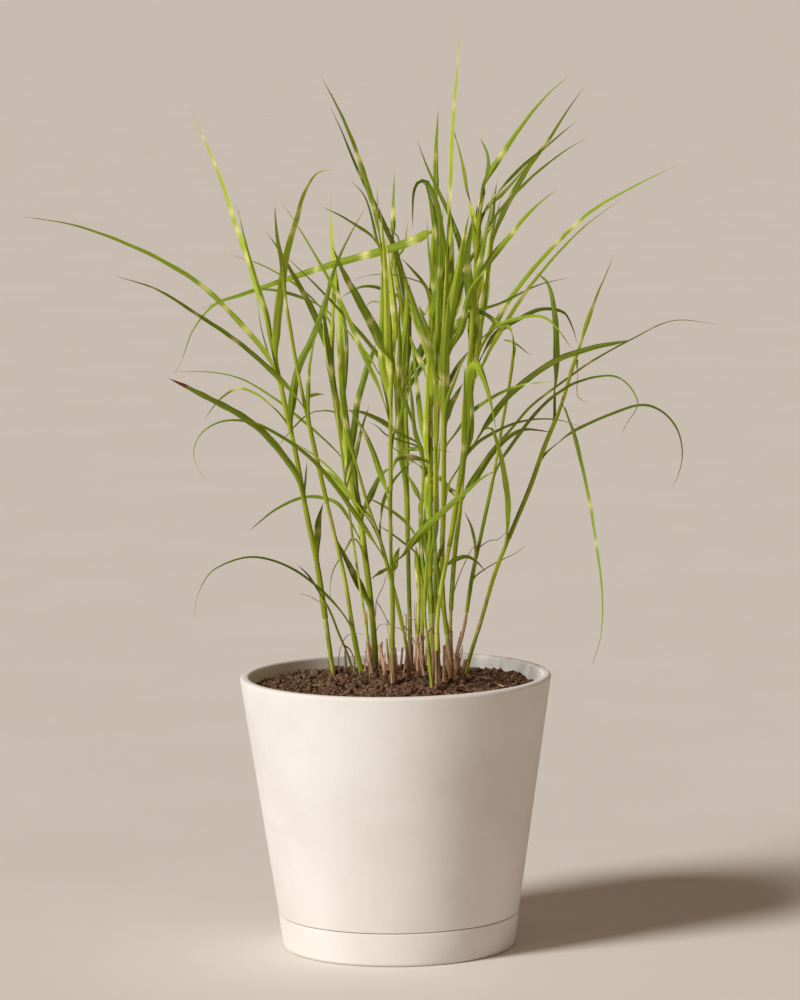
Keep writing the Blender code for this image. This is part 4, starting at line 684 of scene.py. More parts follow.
def smooth_line(points, steps=LINE_STEPS):
    """A smooth curve through the given points, with several steps between neighbours."""
    points = np.asarray(points, float)
    spans = np.sqrt(np.linalg.norm(np.diff(points, axis=0), axis=1))
    times = np.concatenate([[0], np.cumsum(spans)])
    slopes = np.gradient(points, times, axis=0)
    line = [points[0]]
    for left in range(len(points) - 1):
        span = times[left + 1] - times[left]
        for step in range(1, steps + 1):
            s = step / steps
            line.append((2 * s ** 3 - 3 * s * s + 1) * points[left]
                        + (s ** 3 - 2 * s * s + s) * span * slopes[left]
                        + (3 * s * s - 2 * s ** 3) * points[left + 1]
                        + (s ** 3 - s * s) * span * slopes[left + 1])
    return np.array(line)


def distances(line):
    """The distance of each point of a line from its start."""
    return np.concatenate([[0], np.cumsum(np.linalg.norm(np.diff(line, axis=0), axis=1))])


def evenly(line, count):
    """The line again, with its points at equal distances."""
    lengths = distances(line)
    wanted = np.linspace(0, lengths[-1], count)
    return np.stack([np.interp(wanted, lengths, line[:, k]) for k in range(line.shape[1])], axis=1)


def line_length(line):
    return float(np.linalg.norm(np.diff(line, axis=0), axis=1).sum())


def stem_reading(name, height):
    """Across, up and depth, in metres, where a stem's reading is at this height in mm."""
    _, foot_y, top_y, _, _, readings = STEMS[name]
    ups = [up for _, up in readings]
    share = np.clip((height - ups[0]) / (ups[-1] - ups[0]), 0, 1)
    across = np.interp(height, ups, [across for across, _ in readings])
    return np.array([across, height, foot_y + (top_y - foot_y) * share ** STEM_BEND]) * MM


def stem_foot(name):
    """Where a stem leaves the soil, and the direction in which it leaves."""
    x, y = STEMS[name][0] * MM, STEMS[name][1] * MM
    ground = np.array([x, y, soil_height(x, y)])
    first = place(*stem_reading(name, STEMS[name][5][0][1]))
    return ground, (first - ground) / np.linalg.norm(first - ground)


def stem_line(name):
    ground, lean = stem_foot(name)
    points = [ground - lean * STEM_DEPTH_IN_SOIL, ground]
    points += [place(*stem_reading(name, up)) for _, up in STEMS[name][5]]
    return smooth_line(points)


def stem_radius(name, share):
    _, _, _, foot_width, top_width, _ = STEMS[name]
    return 0.5 * MM * (foot_width + (top_width - foot_width) * share)


def leaf_readings(leaf):
    """The leaf's line as (across, up, depth) in metres, from its stem to its tip."""
    stem, height, _, tip_depth, _, readings = leaf
    start = stem_reading(stem, height)
    flat = [start[:2]] + [np.array(pair) * MM for pair in readings]
    flat = smooth_line(flat)
    share = distances(flat)
    share /= share[-1]
    depth = start[2] + (tip_depth * MM - start[2]) * share ** LEAF_BEND
    return np.column_stack([flat, depth])


def leaf_half_width(width, share):
    """Half the blade's width, in metres, at a share of its length."""
    if share < LEAF_WIDEST:
        rise = share / LEAF_WIDEST
        full = width * (LEAF_BASE_SHARE + (1 - LEAF_BASE_SHARE) * rise * (2 - rise))
    else:
        full = width * (1 - ((share - LEAF_WIDEST) / (1 - LEAF_WIDEST)) ** LEAF_FULLNESS)
    return 0.5 * max(full * MM, LEAF_TIP_WIDTH)


def blade_width(name, width, share):
    """The whole width in metres of a blade of the render, at a share of its length."""
    scale, widest, fullness = BLADES.get(name, USUAL_BLADE)
    if share < widest:
        rise = share / widest
        part = BLADE_BASE + (1 - BLADE_BASE) * rise * (2 - rise)
    else:
        part = 1 - ((share - widest) / (1 - widest)) ** fullness
    return max(scale * part * width * MM, LEAF_TIP_WIDTH)


def culm_radius(name, share):
    return SLIM_STEMS.get(name, STEM_SLIM) * stem_radius(name, share)


def numbered(kind, leaves):
    """The names of a list of leaves, each with its leaf."""
    return [(f"{kind}_{number:02d}", leaf) for number, leaf in enumerate(leaves)]


class Strand:
    """A stem or a leaf as a row of points that can be eased apart in depth."""

    def __init__(self, name, parent, readings, half_widths, fixed):
        self.name = name
        self.parent = parent
        self.readings = readings
        self.half_widths = half_widths
        self.fixed = fixed
        self.shift = np.zeros(len(readings))

    def points(self):
        return [place(a, u, d + s) for (a, u, d), s in zip(self.readings, self.shift)]


def to_reading(point):
    """The reverse of place: the reading of a point, with its depth."""
    share = -EYE[1] / (point[1] - EYE[1])
    flat = EYE + (point - EYE) * share
    return np.array([flat[0], flat[2], point[1]])


def strand_of_stem(name):
    line = stem_line(name)
    line = evenly(line, max(LEAST_POINTS, int(line_length(line) / STRAND_STEP)))
    radii = [stem_radius(name, k / (len(line) - 1)) for k in range(len(line))]
    return Strand(name, None, np.array([to_reading(p) for p in line]), np.array(radii), True)


def strand_of_leaf(name, leaf, fused):
    readings = leaf_readings(leaf)
    readings = evenly(readings, max(LEAST_POINTS, int(line_length(readings) / STRAND_STEP)))
    count = len(readings)
    widths = np.array([leaf_half_width(leaf[2], k / (count - 1)) for k in range(count)])
    if not fused:
        side = 1 if leaf[3] * MM > readings[0, 2] else -1
        away = stem_radius(leaf[0], 0.5) + CLEAR_OF_STEM + widths[0] * FOOT_WIDTH_SHARE
        fade = np.exp(-np.linspace(0, 1, count) * AWAY_FADE)
        readings[:, 2] += side * away * (STEADY_AWAY + (1 - STEADY_AWAY) * fade)
    return Strand(name, leaf[0], readings, widths, False)


def plant_tree(places):
    """A search tree of all the strands' points, with the strand and place of each."""
    tree = KDTree(sum(len(row) for row in places))
    owners = []
    for owner, row in enumerate(places):
        for k, point in enumerate(row):
            tree.insert(Vector(point), len(owners))
            owners.append((owner, k))
    tree.balance()
    return tree, owners


def soften(values, times):
    """Even out a row of values, leaving its two ends."""
    for _ in range(times):
        values[1:-1] = 0.25 * values[:-2] + 0.5 * values[1:-1] + 0.25 * values[2:]


def push_at(strands, owner, k, point, tree, owners):
    """How far one point has to move in depth to clear what is near it."""
    strand = strands[owner]
    push = 0.0
    for found, index, distance in tree.find_range(Vector(point), REACH):
        other, j = owners[index]
        rival = strands[other]
        if other == owner or (rival.name == strand.parent and k * STRAND_STEP < NEAR_FOOT):
            continue
        needed = CROSSING_SHARE * (strand.half_widths[k] + rival.half_widths[j]) + SPARE
        if distance >= needed:
            continue
        ahead = point[1] - found[1]
        if abs(ahead) < SAME_DEPTH:
            ahead = owner - other
        share = 1.0 if rival.fixed else SOFT_PUSH
        push += math.copysign(share * (needed - distance), ahead)
    return push


def ease_apart(strands):
    """Slide the leaves along the line of sight until none is too close to its neighbours."""
    for _ in range(EASING_ROUNDS):
        places = [strand.points() for strand in strands]
        tree, owners = plant_tree(places)
        for owner, strand in enumerate(strands):
            if strand.fixed:
                continue
            push = np.zeros(len(strand.shift))
            for k in range(HELD_POINTS, len(push)):
                push[k] = push_at(strands, owner, k, places[owner][k], tree, owners)
            push = np.clip(push, -LARGEST_PUSH, LARGEST_PUSH)
            soften(push, PUSH_SOFTENING)
            strand.shift += push * np.minimum(1, np.arange(len(push)) / FREE_POINTS)
            soften(strand.shift, SHIFT_SOFTENING)


def section_frames(line):
    """For each point: the direction of growth, and the direction across the line of sight."""
    ahead = np.gradient(line, axis=0)
    ahead /= np.linalg.norm(ahead, axis=1)[:, None]
    sight = np.array([0.0, -1.0, 0.0])
    across = np.cross(ahead, sight)
    soften(across, TWIST_SOFTENING)
    across -= ahead * (across * ahead).sum(axis=1)[:, None]
    across /= np.maximum(np.linalg.norm(across, axis=1), 1e-6)[:, None]
    return ahead, across


def grow():
    """Every stem and leaf as a strand, eased apart from its neighbours."""
    strands = {name: strand_of_stem(name) for name in STEMS}
    for name, leaf in LEAVES.items():
        strands[name] = strand_of_leaf(name, leaf, False)
    for name, leaf in numbered("small", SMALL_LEAVES):
        strands[name] = strand_of_leaf(name, leaf, True)
    ease_apart(list(strands.values()))
    return strands


# Shapes that only the render shows.
SEED = 20
ROUND_SIDES = 160
CULM_SIDES = 14
STEM_SLIM = 0.86                    # the green stems are this much thinner than their solids
CULM_STEP = 6.0 * MM
CULM_TAPER = 40.0 * MM              # over which the top of a stem thins out inside its last leaf
NODE_SWELL = 0.16
NODE_REACH = 2.2 * MM
AXIS_POINTS = 240
BLADE_STEP = 5.0 * MM
BLADE_SKIN = 0.20 * MM
BLADE_KEEL = 0.45 * MM
KEEL_REACH = 0.16                   # share of half the blade's width
FULL_SKIN_WIDTH = 5.0 * MM          # narrower blades are thinner in proportion
SHEATH_WRAP = 5.3                   # how far a sheath goes round its stem, radians
COLLAR_WRAP = 2.1
BLADE_WRAP = 0.8
TIP_WRAP = 1.3
COLLAR_REACH = 14.0 * MM            # over which the sheath opens
OPENING_REACH = 32.0 * MM           # over which the blade flattens
TURN_REACH = 70.0 * MM              # over which the blade turns from its stem
SHEATH_CLEAR = 0.12 * MM
SHORT_SHEATH = 0.3                  # of the usual length, for the leaves of the render alone
SHEATH_LAYER = 0.10 * MM            # how much wider each lower sheath is
SHEATH_STEP = 10.0 * MM
SHEATH_ROOT = 1.2                   # of the depth in the soil, where the lowest sheath may begin
SHEATH_LENGTHS = (55, 95)           # mm, the usual sheaths
SHEATH_LAYERS = 5
LEAN_POINT = 5                      # the point of a leaf towards which its sheath faces
COURSE_STEPS = 4
LEAST_SHEATH_ROWS = 3
LEAST_STATIONS = 12
TWIST_CENTRE = 0.4                  # the share of its length where a blade has its own turn
OPENING_SHARE = 0.4
TIP_REACH = 8.0 * MM
TIP_START = -0.2
EDGE_LIFT = 0.05
RIPPLE_SHARE = 0.035
RIPPLE_LENGTHS = (22, 40)           # mm, from one wave of a blade's edge to the next
RIPPLE_RATIO = 0.83                 # of the waves of the two edges
RIPPLES_FROM, RIPPLES_FULL = 10 * MM, 40 * MM
BANDED_WIDTH = 4.6                  # mm; narrower blades have no bands of their own
FIRST_BAND = (18, 90)               # mm from the collar
BAND_SPACING = (55, 120)
BAND_HALVES = (2.8, 6.5)
LAST_BAND = 14 * MM                 # from the tip
USUAL_TONES = (0.15, 0.7)
TONE_SPREAD = 0.05
USUAL_DEAD_TIPS = (1, 9)            # mm
DRY_EDGE = 7.0 * MM
DRY_FADE = 14.0 * MM                # over which a stem turns from straw to green
USUAL_DEAD_FOOT = 3                 # mm
FIRST_NODE = 0.6                    # of the nodes' spacing
LAST_NODE = 20 * MM                 # from the top
TOP_SHARE = 0.25                    # of a stem's width, left at its very top

# Dry stubs, sheaths and fibres.
STUB_SIDES = 11
STUB_FLATTEN = 0.7
STUB_SLANT = 0.09
STUB_CUT = 0.35                     # how slanting the cut is, as a share of the width
STUB_RAGGED = 0.5 * MM
STUB_ROUGH = 0.06
STUB_CUT_TURN = 6                   # radians, the range of the ways in which a cut faces
STUB_WIDTHS = (0.7, 1.05)
# (share of the height, mm more, share of the width, whether the ring is on the cut)
STUB_PROFILE = ((0, -8, 1.15, 0), (0, 0, 1.1, 0), (0.3, 0, 1.0, 0), (0.65, 0, 0.93, 0),
                (1, 0, 0.96, 1), (1, -0.2, 0.7, 1), (1, -5, 0.6, 0))
PAPER_STATIONS = 16
PAPER_ROOT = 0.4                    # of the depth in the soil
PAPER_WRAPS = (2.6, 4.2)            # how far a torn sheath goes round its stem, radians
PAPER_TURN = 0.5
PAPER_FLARE = 0.5
PAPER_TORN_FROM, PAPER_TORN_TO = 0.15, 1.05
PAPER_TEARS = (0.82, 0.94)
PAPER_SKIN = 0.25 * MM
PAPER_KEEL = 0.3
PAPER_CRINKLE = 0.12
TUBE_SIDES = 7
FIBRE_STEPS = 6
FIBRE_THINNING = 0.6
FIBRE_FLATTEN = 0.45
FIBRE_UNEVEN = (0.85, 0.3)          # the least share of its width, and how much more by chance
STRAW_STEPS = 4
STRAW_FLATTEN = 0.5
STRAW_UNEVEN = (0.8, 0.3)
STRAW_STATIONS = (-0.5, -0.2, 0.15, 0.5)           # shares of its length from its middle
ACROSS = np.array([-1.0, -0.72, -0.42, -0.14, 0.0, 0.14, 0.42, 0.72, 1.0])
SHARP_ANGLE = math.radians(48)
PAINTS = ("along", "across", "under", "band", "dry", "tint")


def smoothstep(low, high, value):
    share = np.clip((value - low) / (high - low), 0, 1)
    return share * share * (3 - 2 * share)


def unit(vectors):
    return vectors / np.maximum(np.linalg.norm(vectors, axis=-1, keepdims=True), 1e-9)


class Skin:
    """Closed bodies gathered into one mesh, with the numbers that the materials read."""

    def __init__(self):
        self.points = []
        self.faces = []
        self.slots = []
        self.paints = {name: [] for name in PAINTS}
        self.count = 0

    def add(self, points, faces, slot, **paints):
        self.faces += [[self.count + corner for corner in face] for face in faces]
        self.slots += [slot] * len(faces)
        self.points.append(points)
        self.count += len(points)
        for name in PAINTS:
            value = np.broadcast_to(paints.get(name, 0.0), (len(points),))
            self.paints[name].append(value)

    def loft(self, rings, slot=0, ends_joined=False, **paints):
        """A closed body through rings of points, flat at both ends or joined end to end."""
        rows, columns = rings.shape[:2]
        index = np.arange(rows * columns).reshape(rows, columns)
        if ends_joined:
            index = np.concatenate([index, index[:1]])
        after = np.roll(index, -1, axis=1)
        quads = np.stack([index[:-1], after[:-1], after[1:], index[1:]], axis=-1)
        faces = quads.reshape(-1, 4).tolist()
        if not ends_joined:
            faces += [index[0][::-1].tolist(), index[-1].tolist()]
        flat = {name: np.broadcast_to(value, (rows, columns)).reshape(-1)
                for name, value in paints.items()}
        self.add(rings.reshape(-1, 3), faces, slot, **flat)

    def piece(self, name, materials, slot, *replaced):
        """The mesh as a piece of the scene that rides on the plant."""
        mesh = bpy.data.meshes.new(name)
        mesh.from_pydata(np.concatenate(self.points).tolist(), [], self.faces)
        for material in materials:
            mesh.materials.append(material)
        mesh.polygons.foreach_set("material_index", self.slots)
        for paint, values in self.paints.items():
            attribute = mesh.attributes.new(paint, "FLOAT", "POINT")
            attribute.data.foreach_set("value", np.concatenate(values).astype(np.float32))
        bm = bmesh.new()
        bm.from_mesh(mesh)
        bmesh.ops.recalc_face_normals(bm, faces=bm.faces)
        bm.to_mesh(mesh)
        bm.free()
        mesh.shade_smooth()
        mesh.set_sharp_from_angle(angle=SHARP_ANGLE)
        made = bpy.data.objects.new(name, mesh)
        bpy.context.scene.collection.objects.link(made)
        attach(made, "root")
        if replaced:
            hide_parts(*replaced)
        return made


def stem_axis(name):
    return evenly(stem_line(name), AXIS_POINTS)


def arc_rings(line, flat, face, width, wrap, skin, keel, lift):
    """Rings round a strip that is curled across: its upper side, then its lower side."""
    angle = 0.5 * wrap[:, None] * ACROSS
    radius = (width / wrap)[:, None]
    outward = flat[:, None] * (radius * np.sin(angle))[..., None]
    upward = face[:, None] * (radius * (1 - np.cos(angle)) + lift)[..., None]
    upper = line[:, None] + outward + upward
    normal = face[:, None] * np.cos(angle)[..., None] - flat[:, None] * np.sin(angle)[..., None]
    depth = skin[:, None] + keel[:, None] * np.exp(-(ACROSS / KEEL_REACH) ** 2)
    lower = upper - normal * depth[..., None]
    rings = np.concatenate([upper, lower[:, -2:0:-1]], axis=1)
    across = np.concatenate([ACROSS, ACROSS[-2:0:-1]])
    under = np.concatenate([np.zeros(len(ACROSS)), np.ones(len(ACROSS) - 2)])
    return rings, across, under


def leaf_course(leaf, points, sheath, clear):
    """The midrib's line from the foot of the sheath to the tip, the length in the sheath, the
    direction in which the leaf leaves its stem, and the sheath's radius."""
    axis = stem_axis(leaf[0])
    step = line_length(axis) / (AXIS_POINTS - 1)
    foot = min(int(np.argmin(np.linalg.norm(axis - points[0], axis=1))), AXIS_POINTS - 2)
    low = max(foot - int(sheath / step), int(SHEATH_ROOT * STEM_DEPTH_IN_SOIL / step))
    ahead = unit(axis[foot + 1] - axis[foot - 1])
    lean = points[min(LEAN_POINT, len(points) - 1)] - axis[foot]
    outward = unit(lean - ahead * (lean @ ahead))
    radius = culm_radius(leaf[0], foot / AXIS_POINTS) + clear
    count = max(LEAST_SHEATH_ROWS, 1 + int((foot - low) * step / SHEATH_STEP))
    rows = np.linspace(low, foot, count).astype(int)
    wrapped = axis[rows] + outward * radius
    line = smooth_line(np.concatenate([wrapped, points[2:]]), COURSE_STEPS)
    in_sheath = line_length(line[:COURSE_STEPS * (len(rows) - 1) + 1])
    return line, in_sheath, outward, radius


def band_places(name, course, along, width, rng):
    """The cross bands of a blade: the distance of each from the collar, and half its length."""
    places = []
    if name in BANDS:
        ups = np.array([to_reading(point)[1] for point in course])
        for up in BANDS[name]:
            nearest = np.argmin(np.where(along > 0, abs(ups - up * MM), FAR))
            places.append(along[nearest])
    elif name not in PLAIN and width > BANDED_WIDTH:
        place = rng.uniform(*FIRST_BAND) * MM
        while place < along[-1] - LAST_BAND:
            places.append(place)
            place += rng.uniform(*BAND_SPACING) * MM
    return places, rng.uniform(*BAND_HALVES, len(places)) * MM


def tone_of(name, rng):
    """The leaf's listed tone, which holds painted light and shade, or one of its own kind, with a small
    change so that no two agree.
    """
    usual = rng.uniform(*USUAL_TONES)
    return float(np.clip(TONES.get(name, usual) + rng.uniform(-TONE_SPREAD, TONE_SPREAD), 0, 1))


def add_leaf(skin, name, leaf, points, rng, sheath, clear, dead, slot=0):
    """A leaf with its sheath round the stem, opening at the collar into a folded blade."""
    width, roll = leaf[2], leaf[4]
    course, in_sheath, outward, radius = leaf_course(leaf, points, sheath, clear)
    course = evenly(course, max(LEAST_STATIONS, int(line_length(course) / BLADE_STEP)))
    along = distances(course) - in_sheath
    blade_length = along[-1]
    share = np.clip(along / blade_length, 0, 1)
    ahead, side = section_frames(course)
    front = np.cross(side, ahead)
    own_turn = math.radians(roll) + math.copysign(LEAF_TWIST, roll) * (share - TWIST_CENTRE)
    wrapped = unit(np.cross(-outward, ahead))
    turn_there = np.arctan2((wrapped * front).sum(axis=1), (wrapped * side).sum(axis=1))
    difference = np.unwrap(turn_there - own_turn)
    collar = int(np.argmin(abs(along)))
    difference -= 2 * math.pi * round(difference[collar] / (2 * math.pi))
    reach = min(SHORT_TURNS.get(name, TURN_REACH / MM) * MM, 0.5 * blade_length)
    turn = own_turn + difference * (1 - smoothstep(0, reach, along))
    flat = np.cos(turn)[:, None] * side + np.sin(turn)[:, None] * front
    face = np.cross(ahead, flat)
    mouth = smoothstep(-COLLAR_REACH, 0, along)
    opened = smoothstep(0, min(OPENING_REACH, OPENING_SHARE * blade_length, reach), along)
    wrap = SHEATH_WRAP + (COLLAR_WRAP - SHEATH_WRAP) * mouth + (BLADE_WRAP - COLLAR_WRAP) * opened
    wrap += (TIP_WRAP - BLADE_WRAP) * share ** 2
    blade = np.array([blade_width(name, width, s) for s in share])
    blade *= smoothstep(TIP_START, 1, (blade_length - along) / TIP_REACH)
    wide = radius * wrap * (1 - opened) + blade * opened
    thin = np.minimum(1, wide / FULL_SKIN_WIDTH)
    free = smoothstep(RIPPLES_FROM, RIPPLES_FULL, along)
    phases = rng.uniform(0, 2 * math.pi, 2)
    waves = 2 * math.pi / (rng.uniform(*RIPPLE_LENGTHS) * MM)
    ripple = np.where(ACROSS > 0, np.sin(along * waves + phases[0])[:, None],
                      np.sin(along * waves * RIPPLE_RATIO + phases[1])[:, None])
    lift = ripple * ACROSS ** 2 * (RIPPLE_SHARE * wide * free)[:, None]
    lift = lift + abs(ACROSS) * (EDGE_LIFT * wide * opened)[:, None]
    rings, across, under = arc_rings(course, flat, face, wide, wrap, BLADE_SKIN * thin,
                                     BLADE_KEEL * thin * opened, lift)
    places, halves = band_places(name, course, along, width, rng)
    band = np.full(len(along), -FAR)
    for place, half in zip(places, halves):
        band = np.maximum(band, half - abs(along - place))
    dry = smoothstep(blade_length - dead - DRY_EDGE, blade_length - dead + DRY_EDGE, along)
    skin.loft(rings, slot, along=along[:, None], across=across, under=under,
              band=band[:, None], dry=dry[:, None], tint=tone_of(name, rng))


def around(side, front, count):
    """The directions round a line, for each of its points, at equal turns."""
    turn = np.arange(count) * 2 * math.pi / count
    return np.cos(turn)[:, None] * side[:, None] + np.sin(turn)[:, None] * front[:, None]


def add_culm(skin, name, rng):
    """A stem with its swollen nodes, thinning out inside its last leaf."""
    line = stem_line(name)
    line = evenly(line, int(line_length(line) / CULM_STEP))
    along = distances(line)
    length = along[-1]
    nodes = np.arange(NODE_SPACING * FIRST_NODE, length - LAST_NODE, NODE_SPACING)
    from_node = np.min(abs(along[:, None] - nodes), axis=1) if len(nodes) else along + FAR
    radius = np.array([culm_radius(name, share) for share in along / length])
    radius *= 1 + NODE_SWELL * np.exp(-(from_node / NODE_REACH) ** 2)
    radius *= TOP_SHARE + (1 - TOP_SHARE) * smoothstep(0, CULM_TAPER, length - along)
    ahead, side = section_frames(line)
    front = np.cross(side, ahead)
    rings = line[:, None] + radius[:, None, None] * around(side, front, CULM_SIDES)
    dead = (DEAD_FEET.get(name, USUAL_DEAD_FOOT) + STEM_DEPTH_IN_SOIL / MM) * MM
    dry = 1 - smoothstep(dead - DRY_FADE, dead + DRY_FADE, along)
    skin.loft(rings, along=along[:, None], band=from_node[:, None], dry=dry[:, None],
              tint=rng.uniform(0, 1))


def add_tube(skin, line, radius, rng, flatten):
    """A thin round body along a line, with a radius for each point."""
    ahead, side = section_frames(line)
    front = np.cross(side, ahead) * flatten
    rings = line[:, None] + radius[:, None, None] * around(side, front, TUBE_SIDES)
    skin.loft(rings, along=distances(line)[:, None], tint=rng.uniform(0, 1))


def add_stub(skin, foot, lean, height, width, rng):
    """A cut straw, hollow at the top, with a slanting and uneven rim."""
    turn = np.arange(STUB_SIDES) * 2 * math.pi / STUB_SIDES
    side = unit(np.cross(lean, (0.0, -1.0, 0.0)))
    front = np.cross(side, lean)
    spin = rng.uniform(0, math.pi)
    side, front = (math.cos(spin) * side + math.sin(spin) * front,
                   STUB_FLATTEN * (math.cos(spin) * front - math.sin(spin) * side))
    round_about = np.cos(turn)[:, None] * side + np.sin(turn)[:, None] * front
    slant = (STUB_CUT * width * np.cos(turn + rng.uniform(0, STUB_CUT_TURN))
             + rng.uniform(-1, 1, STUB_SIDES) * STUB_RAGGED)
    rings = []
    places = []
    for part, more, share, cut in STUB_PROFILE:
        place = part * height + more * MM
        rough = rng.uniform(-STUB_ROUGH, STUB_ROUGH, STUB_SIDES)
        radius = 0.5 * width * share * (1 + rough)
        rings.append(foot + lean * place + round_about * radius[:, None]
                     + lean * (slant * cut)[:, None])
        places.append(place)
    skin.loft(np.array(rings), along=np.array(places)[:, None], tint=rng.uniform(0, 1))


def add_papery_sheath(skin, stem, height, clear, turn, rng):
    """A dead sheath that still wraps the foot of a stem, torn at its top."""
    axis = stem_axis(stem)
    step = line_length(axis) / (AXIS_POINTS - 1)
    root = int(PAPER_ROOT * STEM_DEPTH_IN_SOIL / step)
    top = int((STEM_DEPTH_IN_SOIL + height) / step)
    line = evenly(axis[root:top + 1], PAPER_STATIONS)
    share = np.linspace(0, 1, len(line))
    ahead, side = section_frames(line)
    front = np.cross(side, ahead)
    facing = turn + PAPER_TURN * share * rng.uniform(-1, 1)
    outward = np.cos(facing)[:, None] * side + np.sin(facing)[:, None] * front
    face = -outward
    flat = unit(np.cross(face, ahead))
    radius = culm_radius(stem, 0.0) + clear * (1 + PAPER_FLARE * share)
    torn = smoothstep(PAPER_TORN_FROM, PAPER_TORN_TO, share)
    wrap = rng.uniform(*PAPER_WRAPS) * (1 - torn * rng.uniform(*PAPER_TEARS))
    thick = np.full(len(line), PAPER_SKIN)
    lift = rng.uniform(-PAPER_CRINKLE, PAPER_CRINKLE, (len(line), len(ACROSS))) * MM
    rings, across, under = arc_rings(line + outward * radius[:, None], flat, face, radius * wrap,
                                     wrap, thick, PAPER_KEEL * thick, lift)
    skin.loft(rings, along=(share * height)[:, None], across=across, under=under,
              tint=rng.uniform(0, 1))


def grow_fine(strands):
    """The leaves that only the render shows, eased apart with the rest held where it is."""
    fine = {}
    for name, leaf in numbered("fine", FINE_LEAVES):
        fine[name] = strand_of_leaf(name, leaf, len(fine) >= CLOSE_FROM)
    for strand in strands.values():
        strand.fixed = True
    ease_apart(list(strands.values()) + list(fine.values()))
    return fine


# Materials.
MIX_COLOURS, MIX_RESULT = (6, 7), 2  # the colour sockets of a Mix node, whose names aren't its own


def colour_of(name):
    """A colour of the palette, made linear."""
    return tuple((value / FULL_COLOUR) ** GAMMA for value in PALETTE[name]) + (1.0,)


class Shader:
    """A node material put together in short calls."""

    def __init__(self, name):
        self.material = bpy.data.materials.new(name)
        self.material.use_nodes = True
        self.tree = self.material.node_tree
        self.surface = self.tree.nodes["Principled BSDF"]

    def put(self, socket, value):
        if isinstance(value, str):
            value = colour_of(value)
        if isinstance(value, bpy.types.NodeSocket):
            self.tree.links.new(value, socket)
        else:
            socket.default_value = value

    def node(self, kind, inputs, output=0, **settings):
        made = self.tree.nodes.new("ShaderNode" + kind)
        for key, value in settings.items():
            setattr(made, key, value)
        for key, value in inputs.items():
            self.put(made.inputs[key], value)
        return made.outputs[output]

    def paint(self, name):
        return self.node("Attribute", {}, "Fac", attribute_name=name)

    def math(self, operation, first, second=0.0, third=0.0):
        return self.node("Math", {0: first, 1: second, 2: third}, operation=operation)

    def place(self, scale=(1, 1, 1)):
        """Places on the object, in metres, stretched by the scale."""
        where = self.node("TexCoord", {}, "Object")
        return self.node("Mapping", {"Vector": where, "Scale": scale})

    def vector(self, x, y, z=0.0):
        return self.node("CombineXYZ", {0: x, 1: y, 2: z})

    def noise(self, vector, scale, detail, roughness=0.5):
        return self.node("TexNoise", {"Vector": vector, "Scale": scale, "Detail": detail,
                                      "Roughness": roughness})

    def step(self, value, low, high):
        """From 0 to 1, smoothly, while the value goes from low to high."""
        return self.node("MapRange", {"Value": value, "From Min": low, "From Max": high},
                         interpolation_type="SMOOTHSTEP")

    def range(self, value, low, high, first, last):
        return self.node("MapRange", {"Value": value, "From Min": low, "From Max": high,
                                      "To Min": first, "To Max": last})

    def mix(self, share, first, second):
        inputs = {0: share, MIX_COLOURS[0]: first, MIX_COLOURS[1]: second}
        return self.node("Mix", inputs, MIX_RESULT, data_type="RGBA")

    def sway(self, pattern, amount, base):
        """The base, moved up and down by a noise whose middle is one half."""
        return self.math("MULTIPLY_ADD", self.math("SUBTRACT", pattern, 0.5), amount, base)

    def over(self, below, mask, share, above):
        """A colour laid over another where the mask says, at a share of its full strength."""
        return self.mix(self.math("MULTIPLY", mask, share), below, above)

    def bump(self, height, strength, depth):
        return self.node("Bump", {"Height": height, "Strength": strength, "Distance": depth})

    def finish(self, colour, roughness, normal, specular):
        for socket, value in (("Base Color", colour), ("Roughness", roughness),
                              ("Normal", normal), ("Specular IOR Level", specular)):
            self.put(self.surface.inputs[socket], value)
        return self.material


